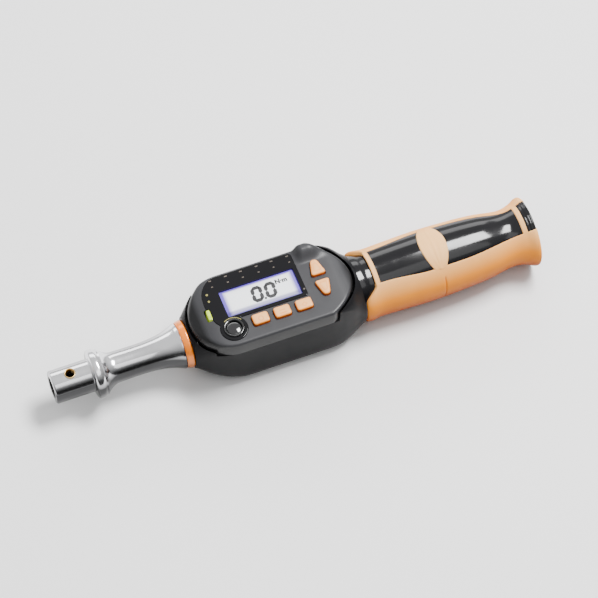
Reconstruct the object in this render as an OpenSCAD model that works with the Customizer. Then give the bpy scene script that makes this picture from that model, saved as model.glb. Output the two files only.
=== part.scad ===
// Digital torque wrench for interchangeable heads, as an assembly of separate pieces.
// Millimetres. X runs from the socket's mouth to the end cap, +Z is up through the display.
// The origin is the centre of the socket's mouth, on the axis of its bore.

/* [Socket and neck] */
// Outer diameter of the socket tube
tube_d = 15.5; // [14.5:0.1:18.6]
// Diameter of the bore that takes a head's shank
bore_d = 10; // [8:0.1:12]
// Depth of that bore
bore_len = 18; // [14:0.5:22]
// Length of the socket tube, up to the collar
socket_len = 18.6; // [18:0.1:24]
// Distance from the mouth to the lock pin's hole
lock_x = 9; // [6:0.5:12]
// Inner diameter of the brass bush in that hole
lock_d = 3.8; // [3:0.1:4.6]
// Diameter of the collar
collar_d = 23; // [20:0.5:28]
// Width of the collar's rib
collar_w = 4.6; // [3:0.1:6]
// Length of the waisted neck, from collar to ring
neck_len = 38.1; // [32:0.1:46]
// Diameter of the neck at its waist
neck_d = 14.2; // [13:0.1:17]
// Diameter of the neck's flare at the ring
flare_d = 21.4; // [20:0.1:24]
// Width of the coloured ring
ring_w = 3.7; // [2.5:0.1:5]

/* [Housing] */
// Length of the display housing
housing_len = 81.5; // [80:0.5:100]
// Width of the display housing
housing_w = 38.8; // [36:0.2:47]
// Height of the face above the axis
face_h = 18.2; // [17.5:0.1:22]
// Depth of the flat underside below the axis
base_h = 16.8; // [15.5:0.1:20]
// Wall of both shells
shell_wall = 2.2; // [1.8:0.1:2.8]
// Thickness of the window plate
lens_t = 1.3; // [1:0.1:1.5]
// Length of the read-out's viewing window
lcd_len = 36; // [30:0.5:37]
// Width of the read-out's viewing window
lcd_w = 14.2; // [10:0.2:14.4]

/* [Keys] */
// Length of a rectangular key, along the tool
key_len = 8.1; // [6.6:0.1:8.6]
// Width of a rectangular key, across the tool
key_w = 6.4; // [5:0.1:7.4]
// Spacing of the rectangular keys
key_pitch = 10.5; // [10:0.1:10.8]
// How far the keys stand above the face
key_rise = 1.8; // [1:0.1:2.4]
// How far a key travels
key_travel = 0.5; // [0.3:0.05:0.7]
// Diameter of the round key
power_d = 7.1; // [6:0.1:7.6]

/* [Grip] */
// Length of the grip, without the neck in front of it
grip_len = 87; // [82:0.5:110]
// Largest diameter of the grip
grip_d = 33.5; // [31:0.1:38]
// Diameter at the grip's narrow place near its end
grip_waist_d = 27; // [26.6:0.1:31]
// Thickness of the soft cover
cover_t = 1.4; // [1:0.1:1.5]

/* [Inside] */
// Height of the measuring beam
beam_h = 13; // [10:0.5:14]
// Width of the measuring beam, in the plane that it bends in
beam_w = 10; // [8:0.5:12]
// Diameter of one battery cell
cell_d = 10.5; // [10:0.1:10.6]
// Length of one battery cell
cell_len = 44.5; // [40:0.5:45]
// Wall of the tube between beam and grip
handle_wall = 2.4; // [2:0.1:2.8]
// Lead of the end cap's thread for one turn
cap_pitch = 1.5; // [1:0.1:2]
// Turns that bring the end cap off its thread
cap_turns = 3; // [2:1:3]

/* [Clearances] */
// Seam between pieces of the fixed case
seam = 0.15; // [0.1:0.05:0.25]
// Gap between a key and the hole that guides it
key_gap = 0.2; // [0.15:0.05:0.3]
// Rest gap between pieces that move against each other
rest_gap = 0.3; // [0.3:0.05:0.4]
// Radial clearance of a fitted pin, tube or thread
fit_gap = 0.06; // [0.04:0.01:0.08]

/* [Hidden] */
$fn = 48;
steel = [0.80, 0.80, 0.82];
orange = [0.90, 0.52, 0.15];
black = [0.07, 0.07, 0.08];

// Stations along the tool
collar_x = socket_len;
neck_x = collar_x + collar_w;
ring_x = neck_x + neck_len;
shell_x0 = ring_x + ring_w + rest_gap;
shell_x1 = shell_x0 + housing_len;
grip_x0 = shell_x1 + rest_gap;
grip_x1 = grip_x0 + grip_len;
grip_front = grip_x0 + 8.5;

// Measuring beam and handle tube
journal_r = 9.2;
tail_r = 7;
tail_x0 = shell_x1 - 20;
tail_x1 = shell_x1 + 3;
tube_x0 = tail_x0 + 11;
tube_r = tail_r + handle_wall;
pin_x = shell_x1 - 4.5;
pin_r = 2;
lead_r = 0.6;
lead_z = tail_r - 1.1;
lead_y = 0.9;

// Battery bay, from the rear forwards
recess_x = grip_x1 - 3.4;
seal_t = 1;
cap_r = cell_d + 0.2;
bay_r = cell_d / 2 + 0.15;
bay_y = cell_d / 2 + 0.1;
spigot_x = recess_x - cap_turns * cap_pitch - 4;
contact_t = 0.5;
cell_x1 = spigot_x - contact_t - rest_gap;
cell_x0 = cell_x1 - cell_len;
bay_x0 = cell_x0 - 2;
bulkhead_t = 2;
tube_x1 = bay_x0 - bulkhead_t;

// Housing
half_w = housing_w / 2;
nose_r = 12.2;
tail_end_r = 16.2;
land = 0.5;
tiny = 0.01;
part_z = 10;
ceiling_z = face_h - shell_wall;
board_t = 1.6;
lcd_t = 2.2;
light_t = 3.1;
lcd_top = ceiling_z - rest_gap;
board_top = lcd_top - lcd_t - light_t;
switch_h = 1.8;
flange_t = 1.2;
flange_rim = 0.8;
stem_end = board_top + switch_h + key_travel + rest_gap;

// Places on the face
lens_x0 = shell_x0 + 10.2;
lens_x1 = shell_x0 + 56.7;
lens_y0 = -6.1;
lens_y1 = half_w - 1.2;
lcd_x = shell_x0 + 36.7;
lcd_y = 2.9;
power_x = shell_x0 + 19;
power_y = -10.4;
power_rim = 1.2;
lobe_r = power_d / 2 + power_rim + 1.7;
key_y = -10.7;
key_x = [for (i = [0:2]) shell_x0 + 31.8 + key_pitch * i];
arrow_x = shell_x0 + 64.7;
arrow_base = 1.2;
arrow_tip = 10;
arrow_half = 3.6;
lamp_x = shell_x0 + 10.4;
lamp_w = 1.8;
lamp_len = 5.3;
boss_r = 2.6;
screw_r = 1.1;
head_seat = 2.6;
// each boss: x, y and the underside's depth there, which rises towards the nose
nose_lift = 2.2;
boss_places = [for (s = [-1, 1]) each
    [[shell_x0 + 11, s * (half_w - 7), base_h - nose_lift], [shell_x1 - 14, s * (half_w - 6.6), base_h]]];
post_r = 1.6;
post_places = [[shell_x0 + 18, 13.2], [shell_x0 + 60, 13.2], [shell_x0 + 60, -13.2], [shell_x0 + 25, -13.8]];

// Eased step from 0 to 1, flat at both ends
function ease(t) = (1 - cos(180 * t)) / 2;

// A profile of [x, r] points turned round the tool's axis
module turned(points) {
    rotate([0, 90, 0]) rotate_extrude() polygon([for (p = points) [p[1], p[0]]]);
}

// A rod along X from x0 to x1
module rod(x0, x1, r, $fn = 48) {
    translate([x0, 0, 0]) rotate([0, 90, 0]) cylinder(h = x1 - x0, r = r);
}

// A rectangle with round corners, centred
module round_rect(size, r) {
    square([size[0] - 2 * r, size[1]], center = true);
    square([size[0], size[1] - 2 * r], center = true);
    for (x = [-1, 1], y = [-1, 1])
        translate([x * (size[0] / 2 - r), y * (size[1] / 2 - r)]) circle(r = r);
}

// ---- Socket, neck and measuring beam ----

neck_waist_x = neck_x + 14.8;
fillet_r = (collar_d - 1.2 - neck_d) / 2;

function neck_points() = [
    // concave fillet behind the collar
    for (a = [0:15:90]) [neck_x + 0.5 + 6.5 * sin(a), neck_d / 2 + 0.1 + fillet_r * (1 - sin(a))],
    // waist that opens with the cube of the distance
    for (i = [0:8]) let (t = i / 8) [
        neck_waist_x + (ring_x - neck_waist_x) * t,
        neck_d / 2 + (flare_d - neck_d) / 2 * pow(t, 3)
    ]
];

function collar_points() = [
    for (a = [-60:20:60]) [collar_x + collar_w / 2 + collar_w / 2 * sin(a) / sin(60),
        collar_d / 2 - 1 + cos(a)]
];

module torque_shaft() {
    chamfer = 0.6;
    color(steel) difference() {
        union() {
            turned(concat(
                [[0, 0], [0, tube_d / 2 - chamfer], [chamfer, tube_d / 2], [collar_x, tube_d / 2]],
                collar_points(),
                neck_points(),
                [[ring_x, journal_r], [shell_x0 + 3.2, journal_r], [shell_x0 + 3.2, 0]]
            ));
            translate([shell_x0 + 3, -beam_w / 2, -beam_h / 2])
                cube([tail_x0 - shell_x0 - 2.8, beam_w, beam_h]);
            rod(tail_x0, tail_x1, tail_r);
        }
        rod(-1, bore_len, bore_d / 2);
        translate([lock_x, 0, 0]) cylinder(h = tube_d, r = lock_d / 2 + 0.8);
        // groove for the battery leads along the top of the tail
        translate([tail_x0 - 1, -2, lead_z - 0.9]) cube([tail_x1 - tail_x0 + 2, 4, tail_r]);
        translate([pin_x, 0, 0]) rotate([90, 0, 0]) cylinder(h = 4 * tail_r, r = pin_r + fit_gap, center = true);
    }
}

module lock_pin_bush() {
    color("goldenrod") difference() {
        translate([lock_x, 0, 0]) cylinder(h = tube_d / 2 + 0.15, r = lock_d / 2 + 0.8);
        translate([lock_x, 0, -1]) cylinder(h = tube_d, r = lock_d / 2);
        rod(-1, bore_len, bore_d / 2);
    }
}

module front_ring() {
    color(orange) difference() {
        turned([[ring_x + rest_gap, 0], [ring_x + rest_gap, flare_d / 2], [ring_x + 0.9, flare_d / 2 + 0.3],
            [shell_x0 - 0.6, flare_d / 2 + 0.7], [shell_x0 - seam, flare_d / 2 + 0.4], [shell_x0 - seam, 0]]);
        rod(ring_x - 1, shell_x0 + 1, journal_r + fit_gap);
    }
}

// ---- Display housing ----

// Slab across the tool from x0 to x1: half width hw, top zt, bottom -zb, corner radii rt and rb
module slab(x0, x1, hw, zt, zb, rt, rb) {
    translate([x0, 0, 0]) rotate([90, 0, 90]) linear_extrude(x1 - x0) {
        for (s = [-1, 1]) {
            translate([s * (hw - rt), zt - rt]) circle(r = rt, $fn = 32);
            translate([s * (hw - rb), rb - zb]) circle(r = rb, $fn = 32);
        }
    }
}

// Outer form of the case, drawn in by d on every side: round nose, crowned box, round tail
module case_form(d, x0, x1) {
    hull() {
        rod(x0, x0 + land, nose_r - d, $fn = 48);
        slab(shell_x0 + 10, shell_x0 + 10 + land, half_w - 2 - d, face_h - 0.6 - d, base_h - nose_lift - d, 2, 7);
        slab(shell_x0 + 20.5, shell_x1 - 16, half_w - d, face_h - d, base_h - d, 1.3, 7);
        rod(x1 - land, x1, tail_end_r - d, $fn = 48);
    }
}

// Half of the face's outline: a blunt superellipse at the nose and a sharper one at the tail
nose_len = 19;
tail_len = 15.5;
face_x0 = shell_x0 + 1.5;
face_x1 = shell_x1 - 2.2;
function face_side(s) = [
    for (i = [0:12]) let (t = i / 12)
        [face_x0 + nose_len * t, s * half_w * sqrt(1 - pow(1 - t, 2.2))],
    for (i = [0:12]) let (t = 1 - i / 12)
        [face_x1 - tail_len * t, s * half_w * sqrt(1 - pow(1 - t, 1.2))]
];
function flip(list) = [for (i = [len(list) - 1:-1:0]) list[i]];

module face_plan() {
    // reaches past the straight sides, so that the face plate owns the top edges
    polygon(concat(face_side(1.02), flip(face_side(-1.02))));
}

module face_prism(low) {
    translate([0, 0, low]) linear_extrude(30) face_plan();
}

module bosses(z0, z1) {
    for (p = boss_places) translate([p[0], p[1], z0]) cylinder(h = z1 - z0, r = boss_r);
}

module screw_holes(r, z0, z1) {
    for (p = boss_places) translate([p[0], p[1], z0]) cylinder(h = z1 - z0, r = r);
}

module lower_shell() {
    color(black) difference() {
        union() {
            difference() {
                case_form(0, shell_x0, shell_x1);
                case_form(shell_wall, shell_x0 + shell_wall, shell_x1 - 3.2);
            }
            intersection() {
                bosses(-base_h + 1, part_z - seam);
                case_form(1, shell_x0 + 1, shell_x1 - 1);
            }
        }
        face_prism(part_z - seam);
        rod(shell_x0 - 1, shell_x0 + 6, journal_r + fit_gap);
        rod(shell_x1 - 10, shell_x1 + 1, tube_r + fit_gap);
        screw_holes(screw_r + 0.3, -base_h - 1, part_z + 1);
        for (p = boss_places) translate([p[0], p[1], -base_h - 1]) cylinder(h = base_h + 1 - p[2] + head_seat, r = 2.3);
    }
}

// Swelling of the face beside the arrow keys: a capsule that lies half sunk along the edge
module face_hump() {
    hump_r = 4;
    hump_len = 4.6;
    translate([arrow_x - 4.4, half_w - hump_r, face_h - 0.6]) {
        rod(0, hump_len, hump_r);
        for (x = [0, hump_len]) translate([x, 0, 0]) sphere(r = hump_r);
    }
}

module lens_plan(d) {
    difference() {
        union() {
            translate([lens_x0 + d, lens_y0 + d]) square([lens_x1 - lens_x0 - 2 * d, lens_y1 - lens_y0 - 2 * d]);
            translate([power_x, power_y]) circle(r = lobe_r - d);
        }
        translate([lamp_x, 0]) round_rect([lamp_w + 0.6 + 2 * d, lamp_len + 0.6 + 2 * d], 1);
    }
}

module arrow_plan(d) {
    hull() for (p = [[-arrow_half + 1, arrow_base + 1], [arrow_half - 1, arrow_base + 1], [0, arrow_tip - 1]])
        translate(p) circle(r = 1 + d, $fn = 32);
}

module key_plan(d) {
    round_rect([key_len + 2 * d, key_w + 2 * d], 1.2 + d);
}

module upper_shell() {
    color([0.42, 0.42, 0.44]) difference() {
        union() {
            intersection() {
                union() {
                    difference() {
                        union() {
                            case_form(0, shell_x0, shell_x1);
                            face_hump();
                        }
                        case_form(shell_wall, shell_x0 + shell_wall, shell_x1 - 3.2);
                    }
                    intersection() {
                        union() {
                            bosses(part_z, face_h - 1);
                            for (p = post_places) translate([p[0], p[1], board_top])
                                cylinder(h = ceiling_z - board_top + 1, r = post_r);
                        }
                        case_form(1, shell_x0 + 1, shell_x1 - 1);
                    }
                }
                face_prism(part_z);
            }
        }
        translate([0, 0, face_h + 0.3 - lens_t]) linear_extrude(10) lens_plan(-seam);
        translate([lcd_x, lcd_y, ceiling_z - 1]) linear_extrude(10) square([lcd_len + 1, lcd_w + 1], center = true);
        translate([lamp_x, 0, part_z]) linear_extrude(20) round_rect([lamp_w + 0.1, lamp_len + 0.1], 0.6);
        translate([power_x, power_y, part_z]) cylinder(h = 20, r = power_d / 2 + power_rim + fit_gap);
        for (x = key_x) translate([x, key_y, part_z]) linear_extrude(20) key_plan(key_gap);
        for (s = [0, 1]) translate([arrow_x, 0, part_z]) mirror([0, s, 0]) linear_extrude(20) arrow_plan(key_gap);
        screw_holes(screw_r, part_z - 1, face_h - 2.2);
        for (p = post_places) translate([p[0], p[1], board_top - 1]) cylinder(h = 4, r = 0.7);
    }
}

// Flat seal that follows the joint between the shells, inside the wall
module shell_gasket() {
    color([0.2, 0.2, 0.2]) translate([0, 0, part_z - 1]) linear_extrude(0.9) intersection() {
        difference() {
            offset(delta = -shell_wall - 0.8) face_plan();
            offset(delta = -shell_wall - 1.6) face_plan();
        }
        translate([shell_x0 + 20.5, -half_w]) square([housing_len - 38.5, housing_w]);
    }
}

// ---- Window, read-out and keys ----

module display_lens() {
    color([0.05, 0.05, 0.06]) difference() {
        translate([0, 0, face_h + 0.3 - lens_t]) linear_extrude(lens_t) lens_plan(0);
        translate([power_x, power_y, 0]) cylinder(h = 2 * face_h, r = power_d / 2 + power_rim + seam);
        for (x = key_x) translate([x, key_y, part_z]) linear_extrude(20) key_plan(key_gap);
    }
}

module lcd_panel() {
    color([0.80, 0.84, 0.82]) translate([lcd_x, lcd_y, lcd_top - lcd_t])
        linear_extrude(lcd_t) square([lcd_len + 2.4, lcd_w + 2.6], center = true);
}

module lcd_backlight() {
    color("white") translate([lcd_x, lcd_y, board_top])
        linear_extrude(light_t) square([lcd_len + 2.4, lcd_w + 2.6], center = true);
}

module status_lamp() {
    color([0.65, 0.85, 0.15]) {
        translate([lamp_x, 0, ceiling_z - 2]) linear_extrude(face_h + 0.4 - ceiling_z + 2)
            round_rect([lamp_w, lamp_len], 0.6);
        translate([lamp_x + 0.4, 0, ceiling_z - 2.8]) linear_extrude(0.8)
            round_rect([lamp_w + 1.6, lamp_len + 1], 0.8);
    }
}

module power_key_bezel() {
    color(black) translate([power_x, power_y, 0]) difference() {
        translate([0, 0, ceiling_z]) cylinder(h = face_h + 1.1 - ceiling_z, r = power_d / 2 + power_rim);
        cylinder(h = 2 * face_h, r = power_d / 2 + key_gap);
    }
}

module power_key() {
    color(black) translate([power_x, power_y, 0]) {
        translate([0, 0, stem_end]) cylinder(h = face_h + 0.9 - stem_end, r = power_d / 2);
        translate([0, 0, ceiling_z - rest_gap - flange_t]) cylinder(h = flange_t, r = power_d / 2 + 0.7);
    }
}

// One rectangular key: cap, hidden flange that holds it in, and stem over its switch
module press_key(x) {
    color(orange) translate([x, key_y, 0]) {
        translate([0, 0, ceiling_z - rest_gap - flange_t])
            linear_extrude(face_h + key_rise - 0.5 - ceiling_z + rest_gap + flange_t) key_plan(0);
        translate([0, 0, face_h + key_rise - 0.5]) linear_extrude(0.5) key_plan(-0.5);
        translate([0, 0, ceiling_z - rest_gap - flange_t]) linear_extrude(flange_t) key_plan(flange_rim);
        translate([0, 0, stem_end]) cylinder(h = ceiling_z - stem_end - 1, r = 1.4);
    }
}

module key_units() { press_key(key_x[0]); }
module key_mode() { press_key(key_x[1]); }
module key_clear() { press_key(key_x[2]); }

// the ceiling slopes down over the arrow keys, so their flanges sit lower
arrow_low = ceiling_z - rest_gap - flange_t - 0.5;

module arrow_key(side) {
    color(orange) translate([arrow_x, 0, 0]) mirror([0, side, 0]) {
        translate([0, 0, arrow_low]) linear_extrude(face_h + key_rise - 0.5 - arrow_low) arrow_plan(0);
        translate([0, 0, face_h + key_rise - 0.5]) linear_extrude(0.5) arrow_plan(-0.5);
        translate([0, 0, arrow_low]) linear_extrude(flange_t - 0.2) arrow_plan(0.7);
        translate([0, arrow_base + 3.4, stem_end]) cylinder(h = ceiling_z - stem_end - 1, r = 1.4);
    }
}

module key_up() { arrow_key(0); }
module key_down() { arrow_key(1); }

// ---- Board and what is on it ----

board_half = half_w - 4.4;

module main_board() {
    color([0.05, 0.35, 0.18]) translate([0, 0, board_top - board_t]) difference() {
        linear_extrude(board_t) {
            translate([shell_x0 + 15.5, -board_half]) square([housing_len - 33, 2 * board_half]);
            translate([shell_x0 + 15.5, -9.6]) square([housing_len - 25.5, 19.2]);
        }
        for (p = post_places) translate([p[0], p[1], -1]) cylinder(h = board_t + 2, r = 0.9);
    }
}

switch_places = concat([for (x = key_x) [x, key_y]],
    [[arrow_x, arrow_base + 3.4], [arrow_x, -arrow_base - 3.4], [power_x, power_y]]);

module key_switches() {
    color("silver") for (p = switch_places) translate([p[0], p[1], board_top]) {
        translate([-2.25, -2.25, 0]) cube([4.5, 4.5, switch_h - 0.5]);
        cylinder(h = switch_h, r = 1.1);
    }
}

module sounder() {
    color(black) translate([shell_x1 - 32, 9.4, board_top - board_t - 3.6]) difference() {
        cylinder(h = 3.6, r = 4.2);
        translate([0, 0, -1]) cylinder(h = 1.6, r = 1);
    }
}

module processor_chips() {
    color([0.12, 0.12, 0.13]) translate([0, 0, board_top - board_t - 1.2]) {
        translate([shell_x0 + 36, -13]) cube([7, 7, 1.2]);
        translate([shell_x0 + 26, -11.5]) cube([5, 4, 1.2]);
        translate([shell_x0 + 48, -12]) cube([3, 5, 1.2]);
    }
}

gauge_x = shell_x0 + 29;
gauge_t = 0.4;

module strain_gauges() {
    color([0.85, 0.6, 0.2]) for (s = [-1, 1])
        translate([gauge_x - 5, s * (beam_w / 2 + gauge_t / 2) - gauge_t / 2, -3]) cube([10, gauge_t, 6]);
}

module gauge_leads() {
    lead_wire = 0.45;
    color("firebrick") for (s = [-1, 1], x = [-3.5, 3.5]) translate([gauge_x + x, 0, 0]) {
        translate([0, s * (beam_w / 2 + gauge_t + lead_wire), 1]) cylinder(h = board_top - board_t - 1, r = lead_wire);
    }
}

module shell_screws() {
    color("silver") for (p = boss_places) translate([p[0], p[1], head_seat - p[2]]) difference() {
        union() {
            translate([0, 0, -1.4]) cylinder(h = 1.4, r = 2.1);
            translate([0, 0, -tiny]) cylinder(h = p[2] + part_z, r = screw_r - fit_gap);
        }
        translate([0, 0, -2]) cylinder(h = 1.4, r = 1, $fn = 6);
    }
}

module board_screws() {
    color("silver") for (p = post_places) translate([p[0], p[1], board_top - board_t]) {
        translate([0, 0, -1]) cylinder(h = 1, r = 1.4);
        cylinder(h = board_t + 2.4, r = 0.65);
    }
}

// ---- Handle ----

module handle_tube() {
    color([0.55, 0.56, 0.58]) difference() {
        rod(tube_x0, tube_x1, tube_r);
        rod(tube_x0 - 1, tube_x1 + 1, tail_r + fit_gap);
        translate([pin_x, 0, 0]) rotate([90, 0, 0]) cylinder(h = 4 * tube_r, r = pin_r + fit_gap, center = true);
    }
}

module handle_pin() {
    color("silver") translate([pin_x, 0, 0]) rotate([90, 0, 0])
        cylinder(h = 2 * tube_r - 1, r = pin_r, center = true);
}

// Radius of the grip at x: full at the front, narrow near the end, flared at the rim
fat_x = grip_front + 25;
waist_x = grip_x1 - 11.5;
rim_x = grip_x1 - 1;
front_r = grip_d / 2 - 0.75;
waist_r = grip_waist_d / 2;
rim_r = base_h - 0.2;
function grip_r(x) =
    x < fat_x ? front_r + (grip_d / 2 - front_r) * ease(max(0, (x - grip_front) / (fat_x - grip_front)))
    : x < waist_x ? grip_d / 2 + (waist_r - grip_d / 2) * ease(pow((x - fat_x) / (waist_x - fat_x), 1.8))
    : waist_r + (rim_r - waist_r) * ease(min(1, (x - waist_x) / (rim_x - waist_x)));

function grip_stations(x0) = [for (i = [0:26]) x0 + (rim_x - x0) * i / 26];

module grip_form(x0, d) {
    turned(concat([[x0, 0]], [for (x = grip_stations(x0)) [x, grip_r(x) - d]],
        [[grip_x1, rim_r - 1 - d], [grip_x1, 0]]));
}

// The black panels show through the cover between these half angles from the top
panel_1_x0 = grip_front + 0.8;
panel_1_x1 = grip_front + 23;
panel_2_x0 = grip_front + 35.6;
panel_2_x1 = grip_x1 - 8;
end_panel_x0 = grip_x1 - 4.1;
function panel_edge(x, a) = grip_r(x) * sin(a);
module panel(x0, x1, a0, a1) {
    linear_extrude(2 * grip_d) polygon(concat(
        [for (i = [0:8]) let (x = x0 + (x1 - x0) * i / 8) [x, panel_edge(x, a0 + (a1 - a0) * i / 8)]],
        [for (i = [8:-1:0]) let (x = x0 + (x1 - x0) * i / 8) [x, -panel_edge(x, a0 + (a1 - a0) * i / 8)]]));
}
module panels() {
    panel(panel_1_x0, panel_1_x1, 34, 40);
    panel(panel_2_x0, panel_2_x1, 40, 31);
    panel(end_panel_x0, grip_x1 + 1, 26, 26);
}

// Everything behind the cover's slanted front edge
cover_top_x = grip_front - 1.8;
cover_low_x = grip_x0 + 0.4;
module behind_front_edge() {
    rotate([90, 0, 0]) translate([0, 0, -grip_d]) linear_extrude(2 * grip_d)
        polygon([[cover_top_x, 16], [cover_top_x, 2 * grip_d], [grip_x1 + 9, 2 * grip_d],
            [grip_x1 + 9, -2 * grip_d], [cover_low_x, -2 * grip_d], [cover_low_x, -6]]);
}

module grip_core() {
    color(black) difference() {
        union() {
            turned([[grip_x0, 0], [grip_x0, 15.6], [grip_front - 3, 14.5], [grip_front, 14.5], [grip_front, 0]]);
            grip_form(grip_front - 1, cover_t);
            intersection() {
                grip_form(grip_front, 0);
                panels();
            }
        }
        rod(grip_x0 - 1, tube_x1, tube_r + fit_gap);
        rod(tube_x1 - 1, bay_x0 + 1, 3);
        for (s = [-1, 1]) translate([0, s * bay_y, 0]) rod(bay_x0, recess_x, bay_r);
        rod(cell_x1 - 3, recess_x + 1, cap_r);
        rod(recess_x, grip_x1 + 1, cap_r + 2.7);
    }
}

module grip_cover() {
    color(orange) difference() {
        intersection() {
            union() {
                grip_form(grip_front, 0);
                turned([[grip_x0, 0], [grip_x0, front_r + 0.4], [grip_x0 + 2, base_h], [grip_front, front_r], [grip_front, 0]]);
            }
            behind_front_edge();
        }
        grip_form(grip_front - 1, cover_t);
        turned([[grip_x0 - 1, 0], [grip_x0 - 1, 15.6], [grip_x0, 15.6], [grip_front - 3, 14.5],
            [grip_front, 14.5], [grip_front, 0]]);
        panels();
    }
}

module battery_cells() {
    color("slateblue") for (s = [-1, 1]) translate([0, s * bay_y, 0]) {
        rod(cell_x0 + (s > 0 ? 1 : 0), cell_x1 - (s > 0 ? 0 : 1), cell_d / 2);
        if (s > 0) rod(cell_x0, cell_x0 + 2, 1.9);
        else rod(cell_x1 - 2, cell_x1, 1.9);
    }
}

module battery_springs() {
    color("silver") for (s = [-1, 1]) translate([0, s * bay_y, 0]) {
        rod(bay_x0, bay_x0 + 0.4, 4);
        for (i = [0:1]) translate([bay_x0 + 0.7 + 0.7 * i, 0, 0]) rotate([0, 90, 0])
            rotate_extrude() translate([3 - 0.5 * i, 0]) circle(r = 0.35, $fn = 16);
    }
}

module battery_leads() {
    color("firebrick") for (s = [-1, 1]) translate([0, s * lead_y, 0]) {
        translate([0, 0, lead_z]) rod(tail_x0 + 2, tube_x1, lead_r);
        translate([tail_x0 + 2, 0, lead_z - lead_r]) cylinder(h = board_top - board_t - lead_z + lead_r, r = lead_r);
    }
}

// ---- End cap ----

module battery_cap() {
    color([0.12, 0.12, 0.13]) difference() {
        turned([[spigot_x, 0], [spigot_x, cap_r - fit_gap], [recess_x + seal_t + 0.4, cap_r - fit_gap],
            [recess_x + seal_t + 0.4, cap_r + 2.4], [grip_x1, cap_r + 2.4], [grip_x1 + 0.5, cap_r + 1.6],
            [grip_x1 + 0.8, 0]]);
        // coin slot
        translate([grip_x1 - 1, -1, -cap_r]) cube([3, 2, 2 * cap_r]);
    }
}

module cap_contact() {
    color("silver") rod(spigot_x - contact_t, spigot_x, cap_r - 1);
}

module cap_seal() {
    color([0.15, 0.15, 0.15]) difference() {
        rod(recess_x + 0.2, recess_x + 0.2 + seal_t, cap_r + 1.8);
        rod(recess_x, recess_x + seal_t + 1, cap_r + 0.1);
    }
}

torque_shaft();
lock_pin_bush();
front_ring();
lower_shell();
upper_shell();
shell_gasket();
display_lens();
lcd_panel();
lcd_backlight();
status_lamp();
power_key_bezel();
power_key();
key_units();
key_mode();
key_clear();
key_up();
key_down();
main_board();
key_switches();
sounder();
processor_chips();
strain_gauges();
gauge_leads();
shell_screws();
board_screws();
handle_tube();
handle_pin();
grip_core();
grip_cover();
battery_cells();
battery_springs();
battery_leads();
battery_cap();
cap_contact();
cap_seal();
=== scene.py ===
"""Looks of a digital torque wrench for interchangeable heads, laid out as a Blender add-on."""

import bmesh
import bpy
import numpy as np
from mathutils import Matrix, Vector


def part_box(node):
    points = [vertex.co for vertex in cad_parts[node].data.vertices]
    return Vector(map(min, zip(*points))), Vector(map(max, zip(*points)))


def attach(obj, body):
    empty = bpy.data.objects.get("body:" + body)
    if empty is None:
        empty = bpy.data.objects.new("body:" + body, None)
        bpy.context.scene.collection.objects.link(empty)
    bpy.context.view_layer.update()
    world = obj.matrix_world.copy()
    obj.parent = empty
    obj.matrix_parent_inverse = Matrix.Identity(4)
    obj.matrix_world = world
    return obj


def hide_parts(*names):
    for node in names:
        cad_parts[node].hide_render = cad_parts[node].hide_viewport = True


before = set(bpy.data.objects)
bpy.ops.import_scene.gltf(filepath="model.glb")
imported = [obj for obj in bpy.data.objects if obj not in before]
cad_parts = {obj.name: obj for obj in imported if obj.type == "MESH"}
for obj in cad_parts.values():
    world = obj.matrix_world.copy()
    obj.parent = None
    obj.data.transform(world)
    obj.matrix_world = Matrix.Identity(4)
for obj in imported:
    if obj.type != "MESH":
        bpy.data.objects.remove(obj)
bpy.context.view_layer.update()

bl_info = {
    "name": "Digital torque wrench",
    "version": (1, 0, 0),
    "blender": (4, 5, 0),
    "location": "View3D > Sidebar > Torque wrench",
    "description": "Builds the visible surfaces of a digital torque wrench around its packed frame",
    "category": "Add Mesh",
}

MM = 0.001
FIXED = "wrench"


# ---- Places read from the frame, in millimetres ----

def span(node):
    """Lowest and highest corner of a frame node, in millimetres."""
    low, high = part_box(node)
    return np.array(low) / MM, np.array(high) / MM


def plan_box(node):
    """Centre and size of a frame node's box seen from above, in millimetres."""
    low, high = span(node)
    return (low + high)[:2] / 2, (high - low)[:2]


def middle(node):
    """Centre of a frame node's box, in millimetres."""
    low, high = span(node)
    return (low + high) / 2


RING_LOW, RING_HIGH = span("front_ring")
CASE_LOW, CASE_HIGH = span("lower_shell")
LENS_LOW, LENS_HIGH = span("display_lens")
GRIP_LOW, GRIP_HIGH = span("grip_core")
CAP_LOW, CAP_HIGH = span("battery_cap")
CASE_X0, CASE_X1 = CASE_LOW[0], CASE_HIGH[0]
HALF_W = CASE_HIGH[1]
BASE_H = -CASE_LOW[2]
FACE_Z = LENS_HIGH[2] - 0.3
PART_Z = span("upper_shell")[0][2]
GRIP_X0, GRIP_X1 = GRIP_LOW[0], GRIP_HIGH[0]


# ---- Curves and outlines ----

def ease(t):
    """Smooth step: 3 t^2 - 2 t^3 on t held between 0 and 1."""
    t = np.clip(t, 0.0, 1.0)
    return t * t * (3.0 - 2.0 * t)


def through(knots, x):
    """Monotone cubic through (x, y) knots: Hermite pieces whose slope at a knot is the harmonic mean of its
    two chords, or zero where they change sign."""
    kx, ky = np.array(knots, float).T
    chord = np.diff(ky) / np.diff(kx)
    slope = np.zeros(len(kx))
    product = chord[:-1] * chord[1:]
    total = chord[:-1] + chord[1:]
    slope[1:-1] = np.where(product > 0, 2 * product / np.where(total == 0, 1, total), 0.0)
    slope[0], slope[-1] = chord[0], chord[-1]
    i = np.clip(np.searchsorted(kx, x) - 1, 0, len(kx) - 2)
    h = kx[i + 1] - kx[i]
    t = np.clip((x - kx[i]) / h, 0.0, 1.0)
    return ((2 * t**3 - 3 * t**2 + 1) * ky[i] + (t**3 - 2 * t**2 + t) * h * slope[i]
            + (-2 * t**3 + 3 * t**2) * ky[i + 1] + (t**3 - t**2) * h * slope[i + 1])


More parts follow.
